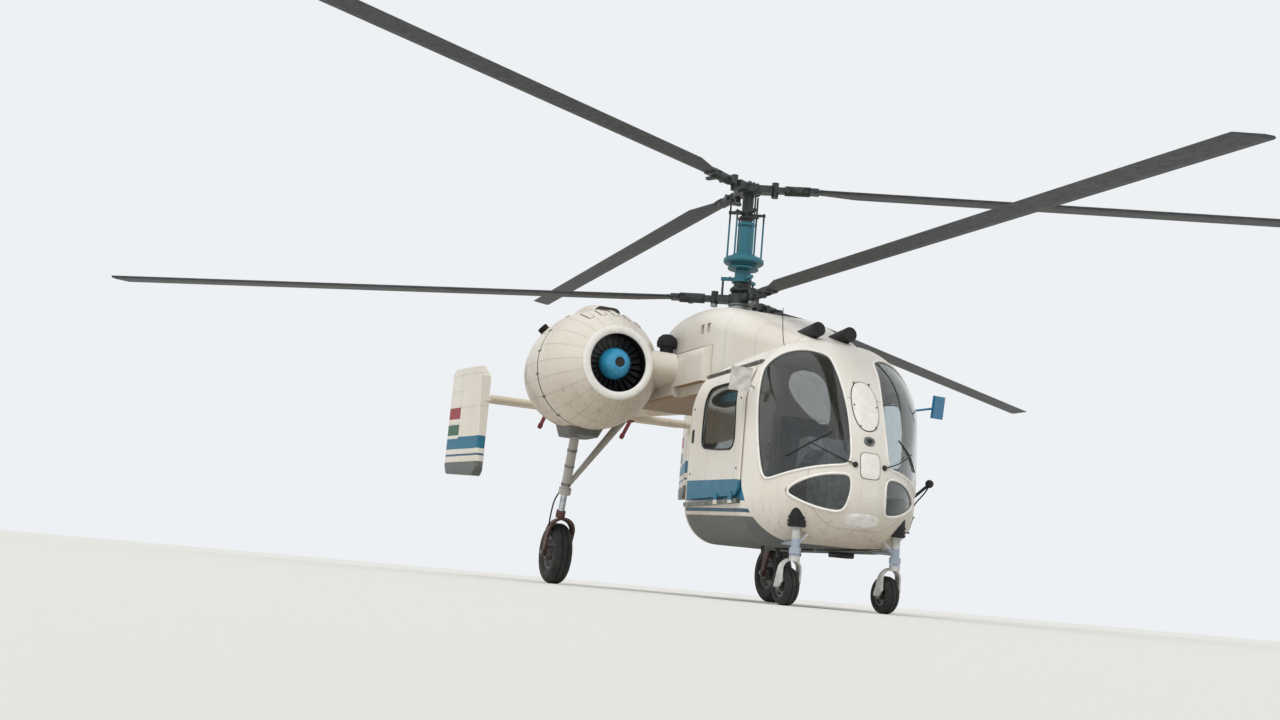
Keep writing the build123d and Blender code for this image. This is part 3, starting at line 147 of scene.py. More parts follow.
def cabin_paint(tree, parts, colour):
    # The side stripes drop 3 cm over each metre toward the nose and stop on a slant under the windscreen
    drop = add_node(tree, "ShaderNodeMath", {0: parts["y"], 1: -0.03, 2: -0.024}, 0, operation="MULTIPLY_ADD")
    line = add_node(tree, "ShaderNodeMath", {0: parts["z"], 1: drop}, 0, operation="ADD")
    slant = add_node(tree, "ShaderNodeMath", {0: parts["z"], 1: -0.42, 2: parts["y"]}, 0,
                     operation="MULTIPLY_ADD")
    side = add_node(tree, "ShaderNodeMapRange", {0: slant, 1: -2.33, 2: -2.324}, 0)
    stripes = ((0.826, 0.995, TEAL), (0.735, 0.765, NIGHT), (0.30, 0.705, "#5F6260"))
    return striped(tree, colour, line, stripes, side)


def fin_paint(tree, parts, colour):
    # The cabin's three bands, carried on at the tail
    stripes = ((1.49, 1.64, TEAL), (1.405, 1.43, NIGHT), (1.0, 1.335, "#5E625F"))
    return striped(tree, colour, parts["z"], stripes)


def rudder_paint(tree, parts, colour):
    # The fin's bands with a red and a green one above them
    stripes = ((1.86, 2.0, "#8E2A33"), (1.66, 1.79, "#2F5A44"), (1.49, 1.62, TEAL), (1.405, 1.43, NIGHT),
               (1.0, 1.335, "#5E625F"))
    return striped(tree, colour, parts["z"], stripes)


def cowl_paint(tree, parts, colour):
    # Sooty tail, dark duct inside the lip, dark joint ring and a polished lip
    radius, _ = round_measures(tree, parts)
    soot = add_node(tree, "ShaderNodeMapRange", {0: parts["y"], 1: 0.5, 2: 1.3}, 0)
    low = add_node(tree, "ShaderNodeMapRange", {0: parts["z"], 1: 2.35, 2: 1.9, 3: 0.25}, 0)
    patch = add_node(tree, "ShaderNodeTexNoise", {"Vector": parts["place"], "Scale": 4.5, "Detail": 7.0}, 0)
    patch = add_node(tree, "ShaderNodeMapRange", {0: patch, 1: 0.36, 2: 0.62, 4: 0.85}, 0)
    soot = add_node(tree, "ShaderNodeMath", {0: soot, 1: low}, 0, operation="MULTIPLY")
    soot = add_node(tree, "ShaderNodeMath", {0: soot, 1: patch}, 0, operation="MULTIPLY")
    colour = add_node(tree, "ShaderNodeMix", {0: soot, 6: colour, 7: "#43311F"}, 2, data_type="RGBA")
    colour = striped(tree, colour, parts["y"], ((0.488, 0.512, "#2B2A28"), (-0.16, -0.128, "#D9D9D6")))
    return striped(tree, colour, radius, ((0.0, 0.3005, "#23211F"),))


def centre_underside_bounce(tree, parts, colour):
    # Painted ground bounce and shade: brown on the faces that look down into the payload bay
    return striped(tree, colour, parts["down"], ((0.55, 2.0, "#86683F"),))


def hump_paint(tree, parts, colour):
    # Dark grille at the rear end of the scoop
    return striped(tree, colour, parts["y"], ((0.2, 0.2755, "#2A2926"),))


def enamel(name, base, soil, low, high, gloss=0.34, bounce_and_dirt=1.0, paint=None, plates=None, bounce="#A98C60"):
    # Sprayed enamel on riveted sheet: an even gloss broken by faint chalking, seams with rivet rows, a
    # painted warm ground bounce that grows toward the underside and on down-facing faces, and thin runs and
    # specks of dirt that drop straight down
    material, tree, parts = begin_material(name)
    place = parts["place"]
    chalk = add_node(tree, "ShaderNodeTexNoise", {"Vector": place, "Scale": 1.7, "Detail": 3.0}, 0)
    chalk = add_node(tree, "ShaderNodeMapRange", {0: chalk, 1: 0.35, 2: 0.75, 4: 0.7}, 0)
    colour = add_node(tree, "ShaderNodeMix", {0: chalk, 6: base, 7: soil[0]}, 2, data_type="RGBA")
    under = add_node(tree, "ShaderNodeMapRange", {0: parts["z"], 1: high, 2: low}, 0,
                     interpolation_type="SMOOTHSTEP")
    facing = add_node(tree, "ShaderNodeNewGeometry", out="Normal")
    facing = add_node(tree, "ShaderNodeSeparateXYZ", {0: facing}, 2)
    parts["down"] = add_node(tree, "ShaderNodeMapRange", {0: facing, 1: 0.1, 2: -0.85}, 0)
    reach = add_node(tree, "ShaderNodeMath", {0: under, 1: parts["down"]}, 0, operation="MAXIMUM")
    # Painted ground bounce: a mottled tint of the bounce colour over the low and down-facing faces, which
    # also roughens them
    painted_bounce = {"Vector": place, "Scale": 1.6, "Detail": 9.0, "Roughness": 0.6}
    painted_bounce = add_node(tree, "ShaderNodeTexNoise", painted_bounce, 0)
    painted_bounce = add_node(tree, "ShaderNodeMapRange", {0: painted_bounce, 1: 0.3, 2: 0.7, 3: 0.45, 4: 1.0}, 0)
    painted_bounce = add_node(tree, "ShaderNodeMath", {0: painted_bounce, 1: reach}, 0, operation="MULTIPLY")
    amount = add_node(tree, "ShaderNodeMath", {0: painted_bounce, 1: 0.5 * bounce_and_dirt}, 0, operation="MULTIPLY")
    colour = add_node(tree, "ShaderNodeMix", {0: amount, 6: colour, 7: bounce}, 2, data_type="RGBA")
    if paint:
        colour = paint(tree, parts, colour)
    runs = add_node(tree, "ShaderNodeMapping", {"Vector": place, "Scale": (13.0, 13.0, 0.9)}, 0)
    runs = add_node(tree, "ShaderNodeTexNoise", {"Vector": runs, "Scale": 1.4, "Detail": 5.0}, 0)
    runs = add_node(tree, "ShaderNodeMapRange", {0: runs, 1: 0.55, 2: 0.8}, 0)
    runs = add_node(tree, "ShaderNodeMath", {0: runs, 1: reach}, 0, operation="MULTIPLY")
    runs = add_node(tree, "ShaderNodeMath", {0: runs, 1: 0.5 * bounce_and_dirt}, 0, operation="MULTIPLY")
    colour = add_node(tree, "ShaderNodeMix", {0: runs, 6: colour, 7: soil[1]}, 2, data_type="RGBA")
    specks = add_node(tree, "ShaderNodeTexNoise", {"Vector": place, "Scale": 46.0, "Detail": 2.0}, 0)
    specks = add_node(tree, "ShaderNodeMapRange", {0: specks, 1: 0.71, 2: 0.77, 4: 0.3 * bounce_and_dirt}, 0)
    colour = add_node(tree, "ShaderNodeMix", {0: specks, 6: colour, 7: soil[1]}, 2, data_type="RGBA")
    height = add_node(tree, "ShaderNodeTexNoise", {"Vector": place, "Scale": 5.0, "Detail": 2.0}, 0)
    if plates:
        across, along, pitch, spacing = plates
        if across == "way":
            parts["radius"], parts["way"] = round_measures(tree, parts)
        seam, rivet = plate_lines(tree, parts[across], parts[along], pitch, spacing)
        line = add_node(tree, "ShaderNodeMath", {0: seam, 1: rivet}, 0, operation="MAXIMUM")
        line = add_node(tree, "ShaderNodeMath", {0: line, 1: 0.42}, 0, operation="MULTIPLY")
        colour = add_node(tree, "ShaderNodeMix", {0: line, 6: colour, 7: "#4B4137"}, 2, data_type="RGBA")
        height = add_node(tree, "ShaderNodeMath", {0: rivet, 1: 0.35, 2: height}, 0, operation="MULTIPLY_ADD")
        height = add_node(tree, "ShaderNodeMath", {0: seam, 1: -0.6, 2: height}, 0, operation="MULTIPLY_ADD")
    wear = add_node(tree, "ShaderNodeTexNoise", {"Vector": place, "Scale": 11.0, "Detail": 4.0}, 0)
    wear = add_node(tree, "ShaderNodeMapRange", {0: wear, 3: gloss - 0.1, 4: gloss + 0.16}, 0)
    wear = add_node(tree, "ShaderNodeMath", {0: painted_bounce, 1: 0.25, 2: wear}, 0, operation="MULTIPLY_ADD")
    bump = add_node(tree, "ShaderNodeBump", {"Strength": 0.35, "Distance": 0.003, "Height": height}, 0)
    close_material(tree, {"Base Color": colour, "Roughness": wear, "Normal": bump, "IOR": 1.5})
    return material


# Cleanest cream: broad soft highlights on the nose and doors, with the stripes along the side
cabin_enamel = enamel("cabin_enamel", CREAM, SOIL, 0.45, 1.15, bounce_and_dirt=0.8, paint=cabin_paint,
                      plates=("y", "z", 0.61, 0.035))
# Duller cream of the upper structure, its seams close together
upper_enamel = enamel("upper_enamel", "#DBD6CC", SOIL, 1.75, 2.15, bounce_and_dirt=0.8, plates=("y", "z", 0.45, 0.035))
# Oily pod cowls, with the full painted ground bounce below: seams that run along the pod, soot toward the
# tail, a bright lip round a dark duct
cowl_enamel = enamel("cowl_enamel", "#DDD6CA", SOIL, 1.5, 2.1, paint=cowl_paint,
                     plates=("way", "y", math.pi / 22, 0.04))
# The scoops' smooth cream, without seams
hump_enamel = enamel("hump_enamel", "#DDD6CA", SOIL, 2.5, 2.7, bounce_and_dirt=0.6, paint=hump_paint)
# Yellowed cream behind the exhausts, with the heaviest runs
boom_enamel = enamel("boom_enamel", "#D3CBBB", SOIL, 1.95, 2.3, bounce_and_dirt=1.2, plates=("y", "z", 0.62, 0.04))
# Grey leg tubes, darker toward the foot with painted ground shade and grease runs
leg_enamel = enamel("leg_enamel", "#B4B1AA", ("#A29D94", "#33231A"), 0.1, 0.5, bounce_and_dirt=0.5, bounce="#7A6C58")
# Fins and rudders: flat cream panels that carry the bands, with the seams lying level
fin_enamel = enamel("fin_enamel", "#DAD5CA", SOIL, 1.1, 1.5, bounce_and_dirt=0.6, paint=fin_paint,
                    plates=("z", "y", 0.4, 0.035))
rudder_enamel = enamel("rudder_enamel", "#DAD5CA", SOIL, 1.1, 1.5, bounce_and_dirt=0.6, paint=rudder_paint,
                       plates=("z", "y", 0.2, 0.03))
# Dark grey fairings and seat frames, where soil hardly shows
grey_enamel = enamel("grey_enamel", "#5A5B57", ("#4E4E49", "#332820"), 1.3, 1.9, bounce_and_dirt=0.5, bounce="#4E4636")
# Cream flanks, with painted brown ground bounce and shade on the underside
centre_enamel = enamel("centre_enamel", "#DBD6CC", SOIL, 1.75, 2.1, bounce_and_dirt=0.6, paint=centre_underside_bounce,
                       bounce="#7A5B34", plates=("y", "x", 0.3, 0.035))


def painted_part(name, base, dark, gloss, *zones):
    # Paint on castings and tubes: slightly uneven, duller and darker where grease has gathered. A zone gives
    # another colour between two values of a measure.
    material, tree, parts = begin_material(name)
    place = parts["place"]
    parts["radius"], _ = round_measures(tree, parts)
    mottle = add_node(tree, "ShaderNodeTexNoise", {"Vector": place, "Scale": 18.0, "Detail": 6.0}, 0)
    colour = add_node(tree, "ShaderNodeValToRGB", {"Fac": mottle}, 0, stops=((0.35, dark), (0.62, base)))
    for measure, low, high, code in zones:
        colour = striped(tree, colour, parts[measure], ((low, high, code),))
    wear = add_node(tree, "ShaderNodeTexNoise", {"Vector": place, "Scale": 40.0, "Detail": 3.0}, 0)
    wear = add_node(tree, "ShaderNodeMapRange", {0: wear, 3: gloss - 0.1, 4: gloss + 0.2}, 0)
    grain = add_node(tree, "ShaderNodeTexNoise", {"Vector": place, "Scale": 90.0, "Detail": 3.0}, 0)
    bump = add_node(tree, "ShaderNodeBump", {"Strength": 0.22, "Distance": 0.002, "Height": grain}, 0)
    close_material(tree, {"Base Color": colour, "Roughness": wear, "Normal": bump, "IOR": 1.5})
    return material


# Rotor heads and mast: greasy dark castings, a blue-green mast between the rotors and a pale foot
hub_casting = painted_part("hub_casting", "#343B38", "#191D1B", 0.42,
                           ("z", 3.02, 3.62, "#2F6B79"), ("z", 2.62, 2.8, "#8C8F8C"))
control_grey = painted_part("control_grey", "#3A3D3D", "#232525", 0.45)
# Bright blue boss in a dark ring of blades, and the glossier blue shell with a black centre
fan_paint = painted_part("fan_paint", "#2C8DB6", "#1F7498", 0.25, ("radius", 0.1225, 0.4, "#26282A"))
spinner_paint = painted_part("spinner_paint", "#3C97BE", "#2F84AA", 0.16, ("radius", 0.0, 0.047, "#0B0C0D"))
# Gear: pale struts with a bluish collar, grey wheels, rusty brown forks
strut_paint = painted_part("strut_paint", "#C6C5C1", "#A5A39D", 0.3, ("z", 0.38, 0.52, "#98A3AF"))
wheel_paint = painted_part("wheel_paint", "#63625F", "#413F3C", 0.45)
fork_rust = painted_part("fork_rust", "#5B3A31", "#33211C", 0.5)
bumper_red = painted_part("bumper_red", "#8E2630", "#5E1A22", 0.45)
# Blades: matt charcoal, which reads as a thin dark line
blade_skin = painted_part("blade_skin", "#3E4143", "#2B2D2F", 0.5)
# Beacon: a red glass on a grey-green foot
beacon_red = painted_part("beacon_red", "#7E8078", "#5E6058", 0.2, ("z", 2.43, 2.9, "#A8202C"))
# Cabin inside: dull greys that stay quiet behind the glass
console_grey = painted_part("console_grey", "#8B8E8D", "#6C7070", 0.5)
floor_grey = painted_part("floor_grey", "#55585A", "#3B3E40", 0.6)
# Mirror arms in off-white, the port one blue
mirror_paint = painted_part("mirror_paint", "#C9C7C0", "#A9A69C", 0.3, ("x", 0.5, 1.2, "#1E6E94"))
# Small fittings: soft black, clean white, and the glossier white of the lamp cover
black_paint = painted_part("black_paint", "#1C1D1E", "#101112", 0.4)
frame_white = painted_part("frame_white", "#EAE7E1", "#E2DED5", 0.25)
lamp_white = painted_part("lamp_white", "#E7E6E2", "#D5D3CC", 0.12)


def bare_metal(name, base, dark, gloss):
    # Turned or drawn metal with fine handling scratches
    material, tree, parts = begin_material(name)
    place = parts["place"]
    tone = add_node(tree, "ShaderNodeTexNoise", {"Vector": place, "Scale": 25.0, "Detail": 5.0}, 0)
    colour = add_node(tree, "ShaderNodeValToRGB", {"Fac": tone}, 0, stops=((0.3, dark), (0.6, base)))
    scratch = add_node(tree, "ShaderNodeTexNoise", {"Vector": place, "Scale": 60.0, "Detail": 4.0}, 0)
    scratch = add_node(tree, "ShaderNodeMapRange", {0: scratch, 3: gloss, 4: gloss + 0.18}, 0)
    close_material(tree, {"Base Color": colour, "Roughness": scratch, "Metallic": 1.0})
    return material


piston_chrome = bare_metal("piston_chrome", "#CBD0D6", "#9FA6AE", 0.08)
dull_steel = bare_metal("dull_steel", "#8E8F8C", "#55524C", 0.35)
burnt_steel = bare_metal("burnt_steel", "#3E352E", "#1C1815", 0.5)


def rubber_stock(name, base, dust, gloss):
    # Moulded black rubber, greyed by dust that clings in patches
    material, tree, parts = begin_material(name)
    place = parts["place"]
    cling = {"Vector": place, "Scale": 14.0, "Detail": 6.0, "Roughness": 0.65}
    cling = add_node(tree, "ShaderNodeTexNoise", cling, 0)
    colour = add_node(tree, "ShaderNodeValToRGB", {"Fac": cling}, 0, stops=((0.42, base), (0.75, dust)))
    grain = add_node(tree, "ShaderNodeTexNoise", {"Vector": place, "Scale": 180.0, "Detail": 3.0}, 0)
    bump = add_node(tree, "ShaderNodeBump", {"Strength": 0.3, "Distance": 0.001, "Height": grain}, 0)
    close_material(tree, {"Base Color": colour, "Roughness": gloss, "Normal": bump, "IOR": 1.5})
    return material


tyre_rubber = rubber_stock("tyre_rubber", "#17181A", "#35312B", 0.72)
boot_rubber = rubber_stock("boot_rubber", "#0E0E0F", "#1E1D1E", 0.6)


def window_glass(name, tint, haze):
    # Blown acrylic sheet: clear with a grey tint, and dust that shows as a faint haze
    material, tree, parts = begin_material(name)
    place = parts["place"]
    dust = add_node(tree, "ShaderNodeTexNoise", {"Vector": place, "Scale": 6.0, "Detail": 5.0}, 0)
    dust = add_node(tree, "ShaderNodeMapRange", {0: dust, 3: 0.01, 4: haze}, 0)
    close_material(tree, {"Base Color": tint, "Roughness": dust, "Transmission Weight": 1.0, "IOR": 1.49})
    return material


acrylic = window_glass("acrylic", "#DCE2E3", 0.04)


def seat_cloth(name, base, dark):
    # Woven wool-mix cloth: matt, with a faint sheen and a weave of threads half a step apart
    material, tree, parts = begin_material(name)
    place = parts["place"]
    threads = 2 * math.pi / THREAD_STEP
    warp = add_node(tree, "ShaderNodeMath", {0: parts["x"], 1: parts["z"]}, 0, operation="ADD")
    warp = add_node(tree, "ShaderNodeMath", {0: warp, 1: threads}, 0, operation="MULTIPLY")
    warp = add_node(tree, "ShaderNodeMath", {0: warp}, 0, operation="SINE")
    weft = add_node(tree, "ShaderNodeMath", {0: parts["y"], 1: parts["z"]}, 0, operation="SUBTRACT")
    weft = add_node(tree, "ShaderNodeMath", {0: weft, 1: threads}, 0, operation="MULTIPLY")
    weft = add_node(tree, "ShaderNodeMath", {0: weft}, 0, operation="SINE")
    weave = add_node(tree, "ShaderNodeMath", {0: warp, 1: weft}, 0, operation="MULTIPLY")
    fade = add_node(tree, "ShaderNodeTexNoise", {"Vector": place, "Scale": 30.0, "Detail": 4.0}, 0)
    colour = add_node(tree, "ShaderNodeValToRGB", {"Fac": fade}, 0, stops=((0.3, dark), (0.7, base)))
    bump = add_node(tree, "ShaderNodeBump", {"Strength": 0.3, "Distance": 0.0006, "Height": weave}, 0)
    close_material(tree, {"Base Color": colour, "Roughness": 0.9, "Sheen Weight": 0.3, "Normal": bump})
    return material


seat_wool = seat_cloth("seat_wool", "#565A61", "#3B3E44")
strap_webbing = seat_cloth("strap_webbing", "#4A4F45", "#34382F")

FINISHES = {
    cabin_enamel: ("cabin_nose", "cabin_belly", "cabin_posts", "door_left", "door_right", "cabin_roof"),
    upper_enamel: ("gearbox_fairing", "cabin_bulkhead", "stub_wings"),
    centre_enamel: ("centre_section",),
    cowl_enamel: ("nacelle_left", "nacelle_right"),
    hump_enamel: ("cowl_scoops",),
    boom_enamel: ("tail_booms", "tailplane", "elevator"),
    fin_enamel: ("fins",),
    rudder_enamel: ("rudders",),
    leg_enamel: ("main_legs", "main_braces"),
    strut_paint: ("nose_legs", "nose_fork_left", "nose_fork_right"),
    wheel_paint: ("main_wheel_left", "main_wheel_right"),
    grey_enamel: ("cowl_beards", "boom_caps", "seat_frames"),
    hub_casting: ("lower_hub", "upper_hub", "mast_collar"),
    control_grey: ("flight_controls",),
    blade_skin: ("lower_blades", "upper_blades"),
    fan_paint: ("fan_left", "fan_right"),
    fork_rust: ("main_forks",),
    bumper_red: ("tail_bumpers",),
    beacon_red: ("beacon",),
    console_grey: ("instrument_console",),
    floor_grey: ("cabin_floor",),
    piston_chrome: ("main_pistons",),
    dull_steel: ("door_rails", "engines", "nose_wheel_left", "nose_wheel_right"),
    mirror_paint: ("mirrors",),
    burnt_steel: ("exhaust_pipes",),
    tyre_rubber: ("main_tyre_left", "main_tyre_right", "nose_tyre_left", "nose_tyre_right"),
    boot_rubber: ("nose_boots", "roof_intakes", "air_probe"),
    acrylic: ("windscreens", "door_glass_left", "door_glass_right"),
    seat_wool: ("seat_cushions",),
}
for finish, names in FINISHES.items():
    for name in names:
        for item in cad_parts[name].material_slots:
            item.material = finish


# Forms for the added pieces

def settle(form, name, body, finish, sharp=38):
    # Turns a finished form into a piece that rides on a body
    bmesh.ops.remove_doubles(form, verts=form.verts, dist=1e-5)
    bmesh.ops.recalc_face_normals(form, faces=form.faces)
    mesh = bpy.data.meshes.new(name)
    form.to_mesh(mesh)
    form.free()
    return keep_piece(mesh, name, body, finish, sharp)


def keep_piece(mesh, name, body, finish, sharp=38):
    for face in mesh.polygons:
        face.use_smooth = True
    mesh.set_sharp_from_angle(angle=math.radians(sharp))
    piece = bpy.data.objects.new(name, mesh)
    bpy.context.collection.objects.link(piece)
    piece.data.materials.clear()
    piece.data.materials.append(finish)
    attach(piece, body)
    return piece


def lay(form, start, spot, axis):
    # Turns the vertices added after a count from +Z to an axis and moves them to a spot
    new = list(form.verts)[start:]
    turn = Vector((0, 0, 1)).rotation_difference(Vector(axis)).to_matrix().to_4x4()
    bmesh.ops.transform(form, matrix=Matrix.Translation(Vector(spot)) @ turn, verts=new)


def add_block(form, spot, size, axis=(0, 0, 1), edge=0.002):
    start = len(form.verts)
    made = bmesh.ops.create_cube(form, size=1.0)
    bmesh.ops.scale(form, vec=Vector(size), verts=made["verts"])
    edges = list({e for v in made["verts"] for e in v.link_edges})
    bmesh.ops.bevel(form, geom=edges, offset=edge, segments=2, affect="EDGES", profile=0.5, material=-1)
    lay(form, start, spot, axis)


def add_stud(form, spot, axis, radius, tall, sides=6):
    # A bolt head with a chamfered top on a washer, its foot at the spot
    start = len(form.verts)
    for count, low, high, wide in ((20, -0.003, tall * 0.3, radius * 1.35),
                                   (sides, tall * 0.2, tall, radius)):
        lift = Matrix.Translation((0, 0, (low + high) / 2))
        bmesh.ops.create_cone(form, cap_ends=True, segments=count, radius1=wide, radius2=wide * 0.93,
                              depth=high - low, matrix=lift)
    lay(form, start, spot, axis)


def lathe(form, outline, spot, axis, steps=48):
    # Spins (radius, height) pairs about an axis through the spot
    start = len(form.verts)
    ring = [form.verts.new((r, 0, h)) for r, h in outline]
    edges = [form.edges.new(pair) for pair in zip(ring, ring[1:])]
    bmesh.ops.spin(form, geom=ring + edges, axis=(0, 0, 1), cent=(0, 0, 0), steps=steps, angle=2 * math.pi,
                   use_merge=True)
    form.verts.ensure_lookup_table()
    lay(form, start, spot, axis)


def tube(name, points, radius, body, finish, closed=False, sides=4):
    # A bent tube, lead or rubber section along a smooth line through the points
    line = bpy.data.curves.new(name, "CURVE")
    line.dimensions = "3D"
    line.bevel_depth = radius
    line.bevel_resolution = sides
    line.use_fill_caps = True
    run = line.splines.new("NURBS")
    run.points.add(len(points) - 1)
    for mark, spot in zip(run.points, points):
        mark.co = (*spot, 1)
    run.order_u = 3
    run.resolution_u = 4
    run.use_endpoint_u = not closed
    run.use_cyclic_u = closed
    holder = bpy.data.objects.new(name + "_line", line)
    bpy.context.collection.objects.link(holder)
    mesh = bpy.data.meshes.new_from_object(holder.evaluated_get(bpy.context.evaluated_depsgraph_get()))
    bpy.data.objects.remove(holder)
    mesh.name = name
    return keep_piece(mesh, name, body, finish)


def skin_of(*names):
    # Surface of some CAD nodes, to seat pieces on
    form = bmesh.new()
    for name in names:
        form.from_mesh(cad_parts[name].data)
    bmesh.ops.remove_doubles(form, verts=form.verts, dist=1e-5)
    surface = BVHTree.FromBMesh(form)
    form.free()
    return surface


def seat_on(surface, spot, ray):
    # Where a line from outside meets the surface, and the way out from it
    ray = Vector(ray).normalized()
    hit, normal, _, _ = surface.ray_cast(Vector(spot), ray, 6.0)
    return (None, None) if hit is None else (hit, normal if normal.dot(ray) < 0 else -normal)


def skin_plate(form, surface, spot, ray, up, wide, tall, thick, power=2.0, rings=5, sides=40):
    # A plate bent to the skin it lies on: an oval at power 2, and squarer as the power grows
    ray = Vector(ray).normalized()
    up = Vector(up).normalized()
    side = up.cross(ray)
    rows = []
    for ring in range(rings + 2):
        share = min(ring, rings) / rings
        lift = (thick, thick * 0.45, -0.002)[max(0, ring - rings + 1)]
        row = []
        for k in range(sides if ring else 1):
            turn = 2 * math.pi * k / sides
            c, s = math.cos(turn), math.sin(turn)
            u = math.copysign(abs(c) ** (2 / power), c) * wide / 2 * share
            v = math.copysign(abs(s) ** (2 / power), s) * tall / 2 * share
            hit, normal = seat_on(surface, Vector(spot) + side * u + up * v, ray)
            row.append(form.verts.new(hit + normal * lift))
        rows.append(row)
    for inner, outer in zip(rows, rows[1:]):
        for k in range(sides):
            n = (k + 1) % sides
            if len(inner) == 1:
                form.faces.new((inner[0], outer[k], outer[n]))
            else:
                form.faces.new((inner[k], outer[k], outer[n], inner[n]))
    form.faces.new(rows[-1])


def rim_loops(name, inside, middle):
    # Ordered points round each opening in a skin, taken where the skin turns into the cut edge
    form = bmesh.new()
    form.from_mesh(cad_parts[name].data)
    bmesh.ops.remove_doubles(form, verts=form.verts, dist=1e-5)
    near = {}
    for edge in form.edges:
        spot = (edge.verts[0].co + edge.verts[1].co) / 2
        if len(edge.link_faces) != 2 or edge.calc_face_angle(0.0) < 0.9 or not inside(spot):
            continue
        out = (spot - Vector(middle)).normalized()
        if max(face.normal.dot(out) for face in edge.link_faces) > 0.45:
            ends = tuple(edge.verts)
            for a, b in (ends, ends[::-1]):
                near.setdefault(a.index, []).append(b.index)
    loops = []
    spots = {vert.index: vert.co.copy() for vert in form.verts}
    form.free()
    while near:
        first = next(iter(near))
        path = [first]
        here = first
        while True:
            ahead = [n for n in near.pop(here, ()) if n in near]
            if not ahead:
                break
            here = ahead[0]
            path.append(here)
        if len(path) > 12:
            kept = [spots[path[0]]]
            for index in path[1:]:
                if (spots[index] - kept[-1]).length > 0.018:
                    kept.append(spots[index])
            for _ in range(4):
                around = zip(kept[-1:] + kept[:-1], kept, kept[1:] + kept[:1])
                kept = [(before + 2 * here + after) / 4 for before, here, after in around]
            loops.append(kept)
    return loops


# Window frames and seals

def is_screen_rim(spot):
    return spot.y < -1.962


def is_door_rim(spot):
    return -1.86 < spot.y < -1.01 and 1.17 < spot.z < 1.83


for k, points in enumerate(rim_loops("cabin_nose", is_screen_rim, (0, -1.7, 1.3))):
    tube("screen_frame_%d" % k, points, 0.0105, "airframe", frame_white, closed=True)
for side, _ in HANDS:
    for k, points in enumerate(rim_loops("door_" + side, is_door_rim, (0, -1.4, 1.45))):
        name = "door_seal_%s_%d" % (side, k)
        tube(name, points, 0.0075, "door_" + side, boot_rubber, closed=True)

# Covers, port and lamp on the nose
nose = skin_of("cabin_nose", "windscreens")
for name, x, z, wide, tall, thick, power, finish, slot_name in (
        ("pillar_cover", 0, 1.60, 0.23, 0.40, 0.010, 2.3, frame_white, "white_paint"),
        ("pillar_panel", 0, 1.12, 0.17, 0.20, 0.006, 5.0, frame_white, "white_paint"),
        ("port_ring", 0, 1.315, 0.10, 0.075, 0.012, 2.0, dull_steel, "steel"),
        ("port_lens", 0, 1.315, 0.062, 0.046, 0.015, 2.0, black_paint, "dark_paint"),
        ("cover_seam", 0, 1.60, 0.245, 0.415, 0.003, 2.3, black_paint, "dark_paint"),
        ("panel_seam", 0, 1.12, 0.18, 0.21, 0.003, 5.0, black_paint, "dark_paint"),
        ("landing_lamp", 0.0, 0.70, 0.30, 0.10, 0.014, 2.6, lamp_white, "white_paint")):
    form = bmesh.new()
    skin_plate(form, nose, (x, -4.0, z), (0, 1, 0), (0, 0, 1), wide, tall, thick, power)
    settle(form, name, "airframe", finish)
form = bmesh.new()
for x, z in ((0.07, 1.79), (-0.07, 1.79), (0.1, 1.60), (-0.1, 1.60), (0.07, 1.43), (-0.07, 1.43)):
    hit, out = seat_on(nose, (x, -4.0, z), (0, 1, 0))
    add_stud(form, hit + out * 0.009, out, 0.006, 0.005, 12)
settle(form, "cover_screws", "airframe", dull_steel)

# Wipers, resting on the glass
for side, sign in HANDS:
    arm = []
    for x, z, lift in ((0.13, 1.12, 0.012), (0.2, 1.14, 0.03), (0.33, 1.2, 0.03), (0.45, 1.27, 0.022)):
        hit, out = seat_on(nose, (sign * x, -4.0, z), (0, 1, 0))
        arm.append(hit + out * lift)
    tube("wiper_arm_" + side, arm, 0.005, "airframe", black_paint)
    blade = []
    for x, z in ((0.3, 1.36), (0.37, 1.31), (0.45, 1.26), (0.52, 1.2), (0.58, 1.15)):
        hit, out = seat_on(nose, (sign * x, -4.0, z), (0, 1, 0))
        blade.append(hit + out * 0.008)
    tube("wiper_blade_" + side, blade, 0.006, "airframe", boot_rubber)
    foot = bmesh.new()
    hit, out = seat_on(nose, (sign * 0.13, -4.0, 1.12), (0, 1, 0))
    lathe(foot, ((0, -0.004), (0.022, -0.004), (0.022, 0.008), (0.016, 0.016), (0, 0.018)), hit, out, 24)
    settle(foot, "wiper_foot_" + side, "airframe", black_paint)

# Lead of the air probe, clipped down the nose and along the belly
flank = skin_of("cabin_nose", "cabin_belly")
lead = [Vector((0.755, -2.262, 1.045)), Vector((0.72, -2.27, 0.99))]
for x, y, z, ray in (
        (1.6, -2.26, 0.90, (-1, 0.25, 0)), (1.5, -2.25, 0.80, (-1, 0.2, 0)),
        (1.4, -2.2, 0.70, (-1, 0.2, 0.1)), (0.9, -2.2, 0.2, (-0.5, 0.15, 1)),
        (0.5, -2.2, 0.0, (-0.1, 0.05, 1)), (0.3, -2.15, 0.0, (0, 0, 1)), (0.1, -2.05, 0.0, (0, 0, 1)),
        (-0.05, -1.9, 0.0, (0, 0, 1)), (-0.1, -1.6, 0.0, (0, 0, 1)), (-0.1, -1.3, 0.0, (0, 0, 1))):
    hit, out = seat_on(flank, (x, y, z), ray)
    lead.append(hit + out * 0.006)
tube("probe_lead", lead, 0.006, "airframe", boot_rubber)
form = bmesh.new()
for spot in lead[3:-1:2]:
    add_block(form, spot, (0.018, 0.03, 0.016), edge=0.003)
settle(form, "lead_clips", "airframe", dull_steel)

